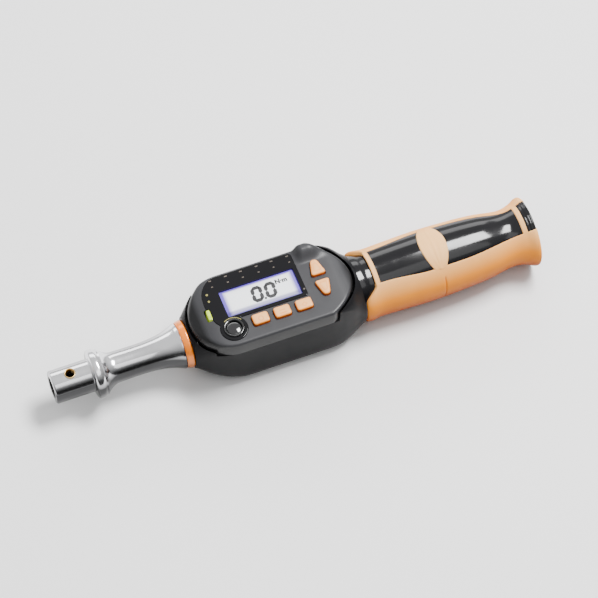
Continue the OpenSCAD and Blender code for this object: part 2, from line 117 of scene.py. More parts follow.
def rounded_path(corners, steps=7, closed=True):
    """Outline through (a, b, radius) corners: each corner is a quadratic arc that starts and ends radius
    away from it along its two edges."""
    points = []
    count = len(corners)
    for i, (a, b, radius) in enumerate(corners):
        here = np.array([a, b], float)
        if radius <= 0 or (not closed and i in (0, count - 1)):
            points.append(here[None])
            continue
        back = np.array(corners[i - 1][:2], float) - here
        ahead = np.array(corners[(i + 1) % count][:2], float) - here
        start = here + back * min(radius / np.linalg.norm(back), 0.49)
        end = here + ahead * min(radius / np.linalg.norm(ahead), 0.49)
        t = np.linspace(0, 1, steps)[:, None]
        points.append((1 - t) ** 2 * start + 2 * t * (1 - t) * here + t**2 * end)
    return np.concatenate(points)


def fine_path(points, spacing):
    """The same closed outline with extra points, so that no edge is longer than the spacing."""
    out = []
    for p, q in zip(points, np.roll(points, -1, axis=0)):
        count = max(1, int(np.ceil(np.linalg.norm(q - p) / spacing)))
        out.append(p + (q - p) * np.linspace(0, 1, count, endpoint=False)[:, None])
    return np.concatenate(out)


def inset(outline, distance):
    """Closed outline moved inwards along its own normals. It turns anticlockwise."""
    edge = np.roll(outline, -1, axis=0) - np.roll(outline, 1, axis=0)
    edge /= np.linalg.norm(edge, axis=1)[:, None] + 1e-12
    return outline + distance * np.stack([-edge[:, 1], edge[:, 0]], axis=1)


def box_outline(centre, size, radius):
    """Rectangle with round corners, anticlockwise."""
    x, y = size[0] / 2, size[1] / 2
    corners = [(x, y, radius), (-x, y, radius), (-x, -y, radius), (x, -y, radius)]
    return rounded_path(corners) + np.array(centre)


def circle_outline(centre, radius, count=72):
    """Circle, anticlockwise."""
    a = np.linspace(0, 2 * np.pi, count, endpoint=False)
    return np.stack([centre[0] + radius * np.cos(a), centre[1] + radius * np.sin(a)], axis=1)


# ---- Meshes from arrays ----

def grid_faces(rows, cols, wrap_rows=False, wrap_cols=True):
    """Quads of a rows by cols grid of points, as an array of vertex numbers."""
    i = np.arange(rows if wrap_rows else rows - 1)[:, None]
    j = np.arange(cols if wrap_cols else cols - 1)[None]
    a = i * cols + j
    b = i * cols + (j + 1) % cols
    c = (i + 1) % rows * cols + (j + 1) % cols
    d = (i + 1) % rows * cols + j
    return np.stack([a, b, c, d], axis=-1).reshape(-1, 4)


def make_object(name, points, faces, sharp=35.0):
    """Mesh object from an N by 3 array of millimetres and a list of faces, smooth but for edges over sharp
    degrees."""
    mesh = bpy.data.meshes.new(name)
    mesh.from_pydata((np.asarray(points) * MM).tolist(), [], [list(map(int, f)) for f in faces])
    mesh.validate()
    mesh.polygons.foreach_set("use_smooth", np.ones(len(mesh.polygons), bool))
    mesh.set_sharp_from_angle(angle=np.radians(sharp))
    mesh.update()
    obj = bpy.data.objects.new(name, mesh)
    bpy.context.collection.objects.link(obj)
    return obj


def rings_object(name, rings, cap="fan", wrap=False, sharp=35.0):
    """Skin over a stack of closed rings (rows, points, 3). The first and last ring are closed by a fan
    round their own middle or by one flat face each, or joined to each other if wrap is set."""
    rows, cols = rings.shape[:2]
    points = rings.reshape(-1, 3)
    faces = grid_faces(rows, cols, wrap_rows=wrap).tolist()
    if cap == "flat" and not wrap:
        faces += [list(range(cols))[::-1], list(range((rows - 1) * cols, rows * cols))]
    elif not wrap:
        points = np.concatenate([points, rings[:1].mean(axis=1), rings[-1:].mean(axis=1)])
        j = np.arange(cols)
        first, last = rows * cols, rows * cols + 1
        low = np.stack([np.full(cols, first), (j + 1) % cols, j], axis=1)
        top = (rows - 1) * cols
        high = np.stack([np.full(cols, last), top + j, top + (j + 1) % cols], axis=1)
        faces += low.tolist() + high.tolist()
    return outward(make_object(name, points, faces, sharp))


def points_of(mesh):
    """A mesh's corner points as an N by 3 array, in metres."""
    co = np.empty(len(mesh.vertices) * 3)
    mesh.vertices.foreach_get("co", co)
    return co.reshape(-1, 3)


def outward(obj):
    """Turns a closed mesh the right way out: its volume, the sum of each face's own tetrahedra, has to be
    positive."""
    mesh = obj.data
    mesh.calc_loop_triangles()
    tri = np.empty(len(mesh.loop_triangles) * 3, int)
    mesh.loop_triangles.foreach_get("vertices", tri)
    a, b, c = points_of(mesh)[tri.reshape(-1, 3)].transpose(1, 0, 2)
    if np.einsum("ij,ij->i", a, np.cross(b, c)).sum() < 0:
        mesh.flip_normals()
    return obj


def turned(name, profile, segments=128, closed=False, sharp=35.0):
    """Surface of revolution about X: a profile of (x, r) points carried round by y = -r sin a, z = r cos a.
    A closed profile makes a ring, and an open one ends in fans on the axis."""
    a = 0.013 + np.linspace(0, 2 * np.pi, segments, endpoint=False)
    x, r = profile.T
    rings = np.stack([np.broadcast_to(x[:, None], (len(x), segments)), -r[:, None] * np.sin(a),
                      r[:, None] * np.cos(a)], axis=-1)
    return rings_object(name, rings, wrap=closed, sharp=sharp)


def upright(name, centre, profile, segments, wrap=False):
    """Surface of revolution about an upright axis through centre, from a profile of (z, r) points."""
    a = np.linspace(0, 2 * np.pi, segments, endpoint=False)
    z, r = profile.T
    rings = np.stack([centre[0] + r[:, None] * np.cos(a), centre[1] + r[:, None] * np.sin(a),
                      np.broadcast_to(z[:, None], (len(z), segments))], axis=-1)
    return rings_object(name, rings, wrap=wrap)


def pillow(name, outline, low, high, edge, crown=0.0, rings=6, sharp=40.0):
    """Upright plate: the outline rises from low, rolls over a quarter circle of radius edge, and its top
    swells by crown times one minus the square of the distance from the middle. With one ring the top is one
    flat face, which suits an outline with hollows."""
    rows = [(outline, low)]
    for a in np.linspace(0, np.pi / 2, 6):
        rows.append((inset(outline, edge * (1 - np.cos(a))), high - edge + edge * np.sin(a)))
    top = rows[-1][0]
    centre = top.mean(axis=0)
    for q in np.linspace(1, 0.08, rings)[1:]:
        rows.append((centre + (top - centre) * q, high + crown * (1 - q * q)))
    grid = np.stack([np.column_stack([p, np.full(len(p), z)]) for p, z in rows])
    return rings_object(name, grid, cap="flat" if rings == 1 else "fan", sharp=sharp)


def joined(name, parts):
    """One object from several, with their meshes side by side."""
    points, faces, offset = [], [], 0
    for part in parts:
        mesh = part.data
        points.append(points_of(mesh) / MM)
        faces += [[v + offset for v in p.vertices] for p in mesh.polygons]
        offset += len(mesh.vertices)
        bpy.data.objects.remove(part)
        bpy.data.meshes.remove(mesh)
    return make_object(name, np.concatenate(points), faces)


def welded(mesh):
    """Closes a mesh whose neighbouring faces have corners of their own in the same places."""
    shape = bmesh.new()
    shape.from_mesh(mesh)
    bmesh.ops.remove_doubles(shape, verts=shape.verts, dist=1e-6)
    shape.to_mesh(mesh)
    shape.free()
    return mesh


def cut(obj, cutters, sharp=35.0, flat_top=False):
    """Takes the cutters' solids out of a closed piece and removes the cutters. flat_top also keeps level
    faces flat in shading. A piece of which nothing is left stops the script."""
    for cutter in cutters:
        step = obj.modifiers.new("cut", "BOOLEAN")
        step.operation = "DIFFERENCE"
        step.solver = "EXACT"
        step.object = cutter
    result = welded(bpy.data.meshes.new_from_object(obj.evaluated_get(bpy.context.evaluated_depsgraph_get())))
    obj.modifiers.clear()
    obj.data = result
    for cutter in cutters:
        bpy.data.objects.remove(cutter)
    if not result.polygons:
        raise RuntimeError("nothing is left of " + obj.name)
    normals = np.empty(len(result.polygons) * 3)
    result.polygons.foreach_get("normal", normals)
    level = normals.reshape(-1, 3)[:, 2] > 0.99999
    result.polygons.foreach_set("use_smooth", ~(level & flat_top))
    result.set_sharp_from_angle(angle=np.radians(sharp))
    return obj


def prism(outline, low, high):
    """Upright closed prism over an outline, used as a cutter."""
    rings = np.stack([np.column_stack([outline, np.full(len(outline), z)]) for z in (low, high)])
    return rings_object("cutter", rings, cap="flat")


def soften(obj, width, segments=3, angle=40.0):
    """Rounds a piece's sharp edges by a live bevel of the given width."""
    step = obj.modifiers.new("edges", "BEVEL")
    step.width = width * MM
    step.segments = segments
    step.limit_method = "ANGLE"
    step.angle_limit = np.radians(angle)
    step.harden_normals = True
    return obj


def lettering(name, text, place, size, depth=0.06, bold=0.0):
    """Generic wording as a flat mesh that reads from the near side, its lower left corner at place."""
    curve = bpy.data.curves.new(name, "FONT")
    curve.body = text
    curve.size = size * MM
    curve.extrude = depth * MM / 2
    curve.offset = bold * MM
    source = bpy.data.objects.new(name + "_text", curve)
    bpy.context.collection.objects.link(source)
    mesh = bpy.data.meshes.new_from_object(source.evaluated_get(bpy.context.evaluated_depsgraph_get()))
    bpy.data.objects.remove(source)
    welded(mesh)
    mesh.vertices.foreach_set("co", (points_of(mesh) + np.array(place) * MM).ravel())
    obj = bpy.data.objects.new(name, mesh)
    bpy.context.collection.objects.link(obj)
    return obj


def settle(obj, material, body=FIXED, replaces=()):
    """Gives a piece its material, its body and the frame nodes that it stands for."""
    obj.data.materials.clear()
    obj.data.materials.append(material)
    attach(obj, body)
    if replaces:
        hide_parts(*replaces)
    return obj


# ---- Materials ----

class Nodes:
    """Short names for building one material's node tree."""

    def __init__(self, name):
        old = bpy.data.materials.get(name)
        if old:
            bpy.data.materials.remove(old)
        self.material = bpy.data.materials.new(name)
        self.material.use_nodes = True
        self.tree = self.material.node_tree
        self.shader = self.tree.nodes["Principled BSDF"]
        self.place = self.tree.nodes.new("ShaderNodeTexCoord").outputs["Object"]

    def node(self, kind, **values):
        made = self.tree.nodes.new("ShaderNode" + kind)
        for key, value in values.items():
            if key in made.inputs:
                made.inputs[key].default_value = value
            else:
                setattr(made, key, value)
        return made

    def link(self, output, target):
        self.tree.links.new(output, target)

    def noise(self, scale, detail=2.0, stretch=(1, 1, 1), rough=0.5):
        """Noise on Object coordinates, per metre, stretched along the axes."""
        mapping = self.node("Mapping", Scale=stretch)
        self.link(self.place, mapping.inputs["Vector"])
        texture = self.node("TexNoise", Scale=scale, Detail=detail, Roughness=rough)
        self.link(mapping.outputs["Vector"], texture.inputs["Vector"])
        return texture.outputs["Fac"]

    def ramp(self, value, stops):
        """Colour ramp from (position, colour) stops."""
        made = self.node("ValToRGB")
        elements = made.color_ramp.elements
        while len(elements) < len(stops):
            elements.new(0.5)
        for element, (position, colour) in zip(elements, stops):
            element.position = position
            element.color = (*colour[:3], 1.0)
        self.link(value, made.inputs["Fac"])
        return made.outputs["Color"]

    def between(self, value, low, high):
        """Maps the middle of a noise's range, 0.3 to 0.7, to low to high."""
        made = self.node("MapRange")
        made.inputs["From Min"].default_value = 0.3
        made.inputs["From Max"].default_value = 0.7
        made.inputs["To Min"].default_value = low
        made.inputs["To Max"].default_value = high
        self.link(value, made.inputs["Value"])
        return made.outputs["Result"]

    def bump(self, value, strength, distance=0.0001):
        made = self.node("Bump", Strength=strength, Distance=distance)
        self.link(value, made.inputs["Height"])
        self.link(made.outputs["Normal"], self.shader.inputs["Normal"])

    def height(self, low, high):
        """Grows from nothing to one between two heights in millimetres."""
        split = self.node("SeparateXYZ")
        self.link(self.place, split.inputs["Vector"])
        made = self.node("MapRange")
        made.inputs["From Min"].default_value = low * MM
        made.inputs["From Max"].default_value = high * MM
        self.link(split.outputs["Z"], made.inputs["Value"])
        return made.outputs["Result"]

    def multiplied(self, tone, by, share=1.0):
        """One colour times another, in a share."""
        mix = self.node("MixRGB", blend_type="MULTIPLY")
        mix.inputs["Fac"].default_value = share
        self.link(tone, mix.inputs["Color1"])
        self.link(by, mix.inputs["Color2"])
        return mix.outputs["Color"]

    def set(self, **values):
        for key, value in values.items():
            self.shader.inputs[key.replace("_", " ")].default_value = value


def shade(colour, factor):
    """The colour made lighter or darker by a factor."""
    return tuple(min(1.0, c * factor) for c in colour[:3])


def pale(colour, share):
    """The colour with a share of cream in it."""
    return tuple(c + (cream - c) * share for c, cream in zip(colour, (1.0, 0.76, 0.40)))


def finish_metal(name, colour, rough=(0.16, 0.28), lines=(900, 6, 6), strength=0.12, under=1.0):
    """Metal with fine tool lines: noise stretched along the lines drives roughness and bump. under is the
    share of its tone that the metal keeps low down, which is a painted dark reflection of the surroundings
    on the lower side."""
    n = Nodes(name)
    n.set(Metallic=1.0)
    grain = n.noise(1.0, 3.0, lines)
    cloud = n.ramp(n.noise(55.0, 3.0), [(0.35, shade(colour, 0.93)), (0.65, shade(colour, 1.04))])
    # painted dark reflection: the tone falls to the share under below 3.5 mm and is full from 7.6 mm up
    low = n.ramp(n.height(3.5, 7.6), [(0.0, (under,) * 3), (1.0, (1, 1, 1))])
    n.link(n.multiplied(cloud, low), n.shader.inputs["Base Color"])
    n.link(n.between(grain, *rough), n.shader.inputs["Roughness"])
    n.bump(grain, strength, 0.00003)
    return n.material


def finish_plastic(name, colour, rough=(0.3, 0.4), grain=1800.0, strength=0.15, coat=0.0, variation=0.1,
                   metallic=0.0, gloss=0.5, painted_shade_below=None):
    """Moulded plastic or paint: spark-eroded grain as bump, and slow changes of tone and gloss. The last
    argument, two heights and a share, paints shade: the tone falls to that share from the upper height
    down to the lower one."""
    n = Nodes(name)
    n.set(Metallic=metallic, Coat_Weight=coat, Coat_Roughness=0.06, Specular_IOR_Level=gloss)
    cloud = n.noise(38.0, 4.0)
    tone = n.ramp(cloud, [(0.3, shade(colour, 1 - variation)), (0.7, shade(colour, 1 + variation))])
    # painted shade: the tone darkens below the upper height
    if painted_shade_below:
        dark = n.ramp(n.height(painted_shade_below[0], painted_shade_below[1]), [(0.0, (painted_shade_below[2],) * 3), (1.0, (1, 1, 1))])
        tone = n.multiplied(tone, dark)
    n.link(tone, n.shader.inputs["Base Color"])
    n.link(n.between(n.noise(120.0, 4.0), *rough), n.shader.inputs["Roughness"])
    n.bump(n.noise(grain, 2.0), strength, 0.00006)
    return n.material


def finish_soft_cover(name, colour, painted_shade_tone):
    """Soft-touch elastomer: a pebble grain as bump, with painted shade deepening the tone towards the
    underside and a painted cream highlight along the top."""
    n = Nodes(name)
    n.set(Specular_IOR_Level=0.12, Subsurface_Weight=0.06, Subsurface_Scale=0.002)
    # painted shade low down and painted highlight on top: the tone follows height
    tone = n.ramp(n.height(-BASE_H, BASE_H), [(0.1, shade(painted_shade_tone, 0.6)), (0.38, painted_shade_tone), (0.66, colour),
                                              (0.95, pale(colour, 0.5))])
    worn = n.ramp(n.noise(70.0, 5.0), [(0.3, (0.86, 0.84, 0.82)), (0.7, (1, 1, 1))])
    n.link(n.multiplied(tone, worn, 0.5), n.shader.inputs["Base Color"])
    n.link(n.between(n.noise(240.0, 3.0), 0.42, 0.55), n.shader.inputs["Roughness"])
    pebble = n.node("TexVoronoi", Scale=1500.0)
    n.link(n.place, pebble.inputs["Vector"])
    n.bump(pebble.outputs["Distance"], 0.22, 0.00008)
    return n.material


def finish_rubber(name, colour, low, high):
    """Silicone rubber of the keys with a fine grain: painted shade makes it deeper and redder at the low
    height, and a painted highlight makes it paler at the high one."""
    n = Nodes(name)
    n.set(Coat_Weight=0.15, Coat_Roughness=0.12, Specular_IOR_Level=0.35)
    # painted shade tone for the keys' low sides; the ramp below adds a painted highlight on their tops
    painted_shade_tone = (colour[0] * 0.72, colour[1] * 0.38, colour[2] * 0.5)
    tone = n.ramp(n.height(low, high), [(0.0, painted_shade_tone), (0.55, colour), (1.0, pale(colour, 0.42))])
    worn = n.ramp(n.noise(160.0, 4.0), [(0.3, (0.9, 0.88, 0.86)), (0.7, (1, 1, 1))])
    n.link(n.multiplied(tone, worn, 0.6), n.shader.inputs["Base Color"])
    n.link(n.between(n.noise(240.0, 3.0), 0.34, 0.46), n.shader.inputs["Roughness"])
    n.bump(n.noise(2600.0, 2.0), 0.08, 0.00006)
    return n.material


def finish_read_out(name, centre, size, colour, edge):
    """Reflective read-out: pale cell, tinted towards its border, with a greyer strip along the near edge
    that is a painted reflection of the window's edge."""
    n = Nodes(name)
    n.set(Coat_Weight=0.9, Coat_Roughness=0.04, Roughness=0.45, Emission_Strength=0.32)
    mapping = n.node("Mapping", vector_type="POINT")
    mapping.inputs["Location"].default_value = (-centre[0] * MM, -centre[1] * MM, 0)
    n.link(n.place, mapping.inputs["Vector"])
    split = n.node("SeparateXYZ")
    n.link(mapping.outputs["Vector"], split.inputs["Vector"])
    sides = []
    for axis, half in (("X", size[0] / 2), ("Y", size[1] / 2)):
        part = n.node("Math", operation="MULTIPLY")
        part.inputs[1].default_value = 1 / (half * MM)
        n.link(split.outputs[axis], part.inputs[0])
        sides.append(part.outputs[0])
    reach = []
    for side, power in zip(sides, (6.0, 4.5)):
        size_of = n.node("Math", operation="ABSOLUTE")
        n.link(side, size_of.inputs[0])
        raised = n.node("Math", operation="POWER")
        raised.inputs[1].default_value = power
        n.link(size_of.outputs[0], raised.inputs[0])
        reach.append(raised.outputs[0])
    most = n.node("Math", operation="MAXIMUM")
    n.link(reach[0], most.inputs[0])
    n.link(reach[1], most.inputs[1])
    tone = n.ramp(most.outputs[0], [(0.0, colour), (0.3, shade(colour, 0.95)), (0.62, edge)])
    # painted reflection: a greyer strip along the near edge of the cell
    window_edge_reflection = n.node("MapRange")
    for socket, value in (("From Min", -0.68), ("From Max", -0.52)):
        window_edge_reflection.inputs[socket].default_value = value
    n.link(sides[1], window_edge_reflection.inputs["Value"])
    band = n.ramp(window_edge_reflection.outputs["Result"], [(0.0, (0.36, 0.34, 0.50)), (1.0, (1, 1, 1))])
    tone = n.multiplied(tone, band)
    n.link(tone, n.shader.inputs["Base Color"])
    n.link(tone, n.shader.inputs["Emission Color"])
    n.bump(n.noise(2600.0, 1.0), 0.02, 0.00002)
    return n.material


def finish_lamp(name, colour):
    """Tinted light pipe with a faint glow and slow changes of tone."""
    n = Nodes(name)
    n.set(Transmission_Weight=0.15, Roughness=0.18, Coat_Weight=0.8, Emission_Strength=0.35)
    tone = n.ramp(n.noise(420.0, 2.0), [(0.35, shade(colour, 0.8)), (0.65, shade(colour, 1.15))])
    n.link(tone, n.shader.inputs["Base Color"])
    n.link(tone, n.shader.inputs["Emission Color"])
    return n.material


# ---- Sizes and colours that a user would change ----

class TorqueWrenchSizes(bpy.types.PropertyGroup):
    """Sizes of the visible details, in millimetres."""

    edge: bpy.props.FloatProperty(name="Face edge", description="Radius of the face's rounded edge",
                                  default=1.3, min=0.3, max=2.0)
    groove: bpy.props.FloatProperty(name="Groove", description="Width of the groove round the face",
                                    default=1.2, min=0.3, max=2.0)
    swelling: bpy.props.FloatProperty(name="Swelling",
                                      description="Height of the swelling beside the arrow keys",
                                      default=3.4, min=0.0, max=3.5)
    collar_d: bpy.props.FloatProperty(name="Collar", description="Diameter of the neck's collar",
                                      default=22.9)
    waist_d: bpy.props.FloatProperty(name="Neck waist", description="Diameter of the neck's waist",
                                     default=14.2)
    flare_d: bpy.props.FloatProperty(name="Neck flare", description="Diameter where the neck meets the ring",
                                     default=21.4)
    cover_t: bpy.props.FloatProperty(name="Cover", description="Thickness of the grip's soft cover",
                                     default=1.3)
    digit_h: bpy.props.FloatProperty(name="Digits", description="Height of the read-out's digits",
                                     default=6.6)


class TorqueWrenchColours(bpy.types.PropertyGroup):
    """Base colours of the finishes."""

    steel: bpy.props.FloatVectorProperty(name="Plated steel", description="Socket, collar and neck",
                                         subtype="COLOR", default=(0.86, 0.86, 0.88))
    black: bpy.props.FloatVectorProperty(name="Case", description="Black moulded case", subtype="COLOR",
                                         default=(0.009, 0.009, 0.010))
    face: bpy.props.FloatVectorProperty(name="Face", description="Satin dark grey face", subtype="COLOR",
                                        default=(0.034, 0.034, 0.037))
    gloss: bpy.props.FloatVectorProperty(name="Window", description="Glossy black window and grip panels",
                                         subtype="COLOR", default=(0.004, 0.004, 0.005))
    orange: bpy.props.FloatVectorProperty(name="Keys", description="Orange keys", subtype="COLOR",
                                          default=(0.93, 0.27, 0.012))
    ring: bpy.props.FloatVectorProperty(name="Ring", description="Orange ring behind the neck",
                                        subtype="COLOR", default=(0.90, 0.22, 0.008))
    cover: bpy.props.FloatVectorProperty(name="Cover", description="Soft cover, lit side", subtype="COLOR",
                                         default=(0.90, 0.29, 0.006))
    # painted shade colour for the cover's underside
    cover_painted_shade: bpy.props.FloatVectorProperty(name="Cover, low", description="Soft cover, underside",
                                              subtype="COLOR", default=(0.38, 0.075, 0.001))
    read_out: bpy.props.FloatVectorProperty(name="Read-out", description="Pale cell of the read-out",
                                            subtype="COLOR", default=(0.86, 0.88, 0.92))
    border: bpy.props.FloatVectorProperty(name="Read-out border", description="Tint at the cell's border",
                                          subtype="COLOR", default=(0.10, 0.06, 0.45))
    lamp: bpy.props.FloatVectorProperty(name="Lamp", description="Light pipe", subtype="COLOR",
                                        default=(0.55, 0.72, 0.06))
    marks: bpy.props.FloatVectorProperty(name="Marks", description="Printed marks", subtype="COLOR",
                                         default=(0.075, 0.058, 0.042))


def sizes():
    return bpy.context.scene.torque_wrench_sizes


def colours():
    return bpy.context.scene.torque_wrench_colours


# ---- Case: half width, top, bottom and corner radii along the tool ----

def along(*knots):
    """Knots measured from the case's nose and, where the first number is negative, from its tail."""
    return [(CASE_X0 + x if x >= 0 else CASE_X1 + x + 1e-6, y) for x, y in knots]


WIDTH = along((0, 11.9), (2.6, 13.4), (6, 15.6), (10, 17.5), (15, 18.8), (21, HALF_W), (-18, HALF_W),
              (-12, 18.9),
              (-7, 17.7), (-3, 16.3), (-0.0001, 15.6))
TOP = along((0, 12.3), (2.6, 14.4), (6, 16.3), (9.5, 17.4), (14, 18.0), (20, FACE_Z), (-17, FACE_Z),
            (-11, 17.8),
            (-6, 16.9), (-2, 15.7), (-0.0001, 15.4))
BOTTOM = along((0, 11.7), (4, 12.2), (10, 13.5), (16, 15.2), (24, BASE_H), (-15, BASE_H), (-7, 16.6),
               (-0.0001, 16.3))
TOP_CORNER = along((0, 11.6), (4, 9.0), (10, 4.2), (20, 1.5), (-17, 1.5), (-8, 5.0), (-0.0001, 14.8))
LOW_CORNER = along((0, 11.6), (10, 8.6), (23, 7.0), (-15, 7.0), (-0.0001, 14.8))


def case_rings(x, wall=0.0):
    """Closed sections of the case: at each x a rectangle of half width w, top t and bottom b whose corners
    are arcs of their own radius, all drawn in by the wall."""
    w, t, b = through(WIDTH, x) - wall, through(TOP, x) - wall, through(BOTTOM, x) - wall
    rt = np.minimum(np.maximum(through(TOP_CORNER, x) - wall, 0.4), np.minimum(w, t) * 0.985)
    rb = np.minimum(np.maximum(through(LOW_CORNER, x) - wall, 1.0), np.minimum(w, b) * 0.985)
    flat = np.linspace(0, 1, 7)[:-1]
    arc = np.linspace(0, np.pi / 2, 10)[:-1]
    w, t, b, rt, rb = (v[:, None] for v in (w, t, b, rt, rb))
    one = np.ones_like(w)
    y = np.concatenate([flat * (w - rt), w - rt + rt * np.sin(arc), w * np.ones_like(flat),
                        w - rb + rb * np.cos(arc), (w - rb) * (1 - flat), 0 * one], axis=1)
    z = np.concatenate([t * np.ones_like(flat), t - rt + rt * np.cos(arc),
                        (t - rt) + ((rb - b) - (t - rt)) * flat,
                        rb - b - rb * np.sin(arc), -b * np.ones_like(flat), -b * one], axis=1)
    y = np.concatenate([y, -y[:, -2:0:-1]], axis=1)
    z = np.concatenate([z, z[:, -2:0:-1]], axis=1)
    return np.stack([np.broadcast_to(x[:, None], y.shape), y, z], axis=-1)


NOSE_LEN, TAIL_LEN = 19.0, 15.5
FACE_X0, FACE_X1 = CASE_X0 + 1.5, CASE_X1 - 2.2


def face_outline(grow=0.0):
    """Plan of the face, anticlockwise: superellipses of power 2.2 at the nose and 1.2 at the tail, joined
    by straight sides. grow widens it all round."""
    t = np.linspace(0, 1, 30) ** 1.6
    nose = np.column_stack([FACE_X0 - grow + (NOSE_LEN + grow) * t,
                            (HALF_W + grow) * np.sqrt(1 - (1 - t) ** 2.2)])
    tail = np.column_stack([FACE_X1 + grow - (TAIL_LEN + grow) * t,
                            (HALF_W + grow) * np.sqrt(1 - (1 - t) ** 1.2)])[::-1]
    straight = np.column_stack([np.linspace(nose[-1, 0], tail[0, 0], 46)[1:-1], np.full(44, HALF_W + grow)])
    far = np.concatenate([nose, straight, tail])
    near = far[::-1][1:-1] * [1, -1]
    return np.concatenate([far, near])[::-1]


def softer(a, b, blend):
    """Smaller of two heights with a round corner: minus the blend times the log of the summed
    exponentials."""
    low = np.minimum(a, b)
    return low - blend * np.log(np.exp((low - a) / blend) + np.exp((low - b) / blend))


def face_height(x, y):
    """Height of the face's top: the case's own top line with its corner arcs, a little proud, under a flat
    that falls gently to the sides. The swelling beside the arrow keys is a product of smooth steps."""
    corner = through(TOP_CORNER, x)
    over = np.clip(np.abs(y) - through(WIDTH, x) + corner, 0, corner * 0.8) * ease((corner - 2.0) / 3.0)
    own = through(TOP, x) + 0.4 - corner + np.sqrt(corner**2 - over**2)
    flat = FACE_Z - 0.2 + 0.2 * (1 - (y / HALF_W) ** 2)
    top = softer(own, flat, 0.22)
    step = LENS_HIGH[0] + 0.6
    rise = ease((x - step) / 3.6) * (1 - ease((x - step - 7.5) / 9.0))
    return top + sizes().swelling * rise * ease((y - 10.2) / 6.5)


WALL, NOSE_WALL, TAIL_WALL = 2.2, 2.4, 3.2
NECK_BORE, TAIL_BORE = 9.3, 9.6
CUT_TOP = 30


def rod_cutter(x0, x1, radius):
    """Closed rod along the tool, used as a cutter."""
    return turned("cutter", np.array([[x0, 0.01], [x0, radius], [x1, radius], [x1, 0.01]]))


class WRENCH_OT_case(bpy.types.Operator):
    """Black lower case: a hollow loft of the case's sections with the face's plan cut out of its top"""

    bl_idname = "wrench.case"
    bl_label = "Lower case"

    def execute(self, context):
        x = np.concatenate([np.linspace(CASE_X0, CASE_X0 + 24, 40),
                            np.linspace(CASE_X0 + 25, CASE_X1 - 19, 24),
                            np.linspace(CASE_X1 - 18, CASE_X1, 32)])
        outer = rings_object("lower_case", case_rings(x), sharp=30)
        hollow = np.linspace(CASE_X0 + NOSE_WALL, CASE_X1 - TAIL_WALL, 60)
        inner = rings_object("cutter", case_rings(hollow, wall=WALL))
        plan = prism(face_outline(sizes().groove), PART_Z, CUT_TOP)
        nose = rod_cutter(CASE_X0 - 1, CASE_X0 + 4, NECK_BORE)
        tail = rod_cutter(CASE_X1 - 6, CASE_X1 + 1, TAIL_BORE)
        wells = []
        for x_at, y_at, head in screw_places(case_screws()):
            wells.append(prism(circle_outline((x_at, y_at), WELL_R, 40), -BASE_H - 1, head + WELL_DEPTH))
        cut(outer, [inner, plan, nose, tail] + wells)
        soften(outer, 0.28, 2, 45)
        black = finish_plastic("black_case", colours().black, rough=(0.30, 0.40), strength=0.10, gloss=0.06)
        settle(outer, black, replaces=["lower_shell"])
        return {"FINISHED"}


HEAD_ZONE, HEAD_LIFT = -5.0, 2.8
WELL_R, WELL_DEPTH = 2.4, 1.2


def case_screws():
    """The frame's case screws as one piece. The front pair's points under HEAD_ZONE, their heads, are
    raised by HEAD_LIFT, so that they sit inside the nose, which is more tapered than the frame's."""
    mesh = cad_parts["shell_screws"].data.copy()
    co = points_of(mesh)
    front = co[:, 0] < (co[:, 0].min() + co[:, 0].max()) / 2
    co[front & (co[:, 2] < HEAD_ZONE * MM), 2] += HEAD_LIFT * MM
    mesh.vertices.foreach_set("co", co.ravel())
    screws = bpy.data.objects.new("case_screws", mesh)
    bpy.context.collection.objects.link(screws)
    black = finish_metal("screw_black", (0.06, 0.06, 0.065))
    return settle(screws, black, replaces=["shell_screws"])


def screw_places(screws):
    """Middle, seen from above, and lowest height of each of the four case screws."""
    co = points_of(screws.data) / MM
    middle_x = (co[:, 0].min() + co[:, 0].max()) / 2
    places = []
    for front in (True, False):
        for far in (True, False):
            part = co[((co[:, 0] < middle_x) == front) & ((co[:, 1] > 0) == far)]
            low, high = part.min(axis=0), part.max(axis=0)
            places.append(((low[0] + high[0]) / 2, (low[1] + high[1]) / 2, low[2]))
    return places


KEY_NODES = ("key_units", "key_mode", "key_clear")
ARROW_NODES = ("key_up", "key_down")
KEY_GAP = 0.3
KEY_EDGE, KEY_CROWN = 0.75, 0.12
# by how much a key's hidden flange is wider than its cap, and how high it ends above the node's low side
KEY_FLANGE, ARROW_FLANGE = (0.7, 1.8), (0.6, 1.6)


def key_outline(node, grow=0.0):
    """Rounded rectangle over one key's cap, inside its hidden flange's box."""
    low, high = span(node)
    size = (high - low)[:2] - [2.0, 2.6] + 2 * grow
    return fine_path(box_outline((low + high)[:2] / 2 + [0.0, 0.5], size, 1.3 + grow), 0.5)


def arrow_outline(node, grow=0.0):
    """Rounded triangle over one arrow key's cap, pointing away from the other key."""
    low, high = span(node)
    way = 1 if (low + high)[1] > 0 else -1
    inner, tip = sorted((abs(low[1]), abs(high[1])))
    x, half = (low + high)[0] / 2, (high - low)[0] / 2 - 0.7 + grow
    inner, tip = (inner + 1.5, tip - 0.6) if way > 0 else (inner + 0.5, tip - 1.6)
    inner, tip = inner - grow, tip + grow
    corners = [(x - half, way * inner, 1.6), (x + half, way * inner, 1.6), (x + half * 0.42, way * tip, 1.7),
               (x - half * 0.42, way * tip, 1.7)]
    return fine_path(rounded_path(corners if way > 0 else corners[::-1]), 0.5)


def power_place():
    """Centre of the round key and the radius of its ring."""
    low, high = span("power_key_bezel")
    return (low + high)[:2] / 2, (high - low)[0] / 2


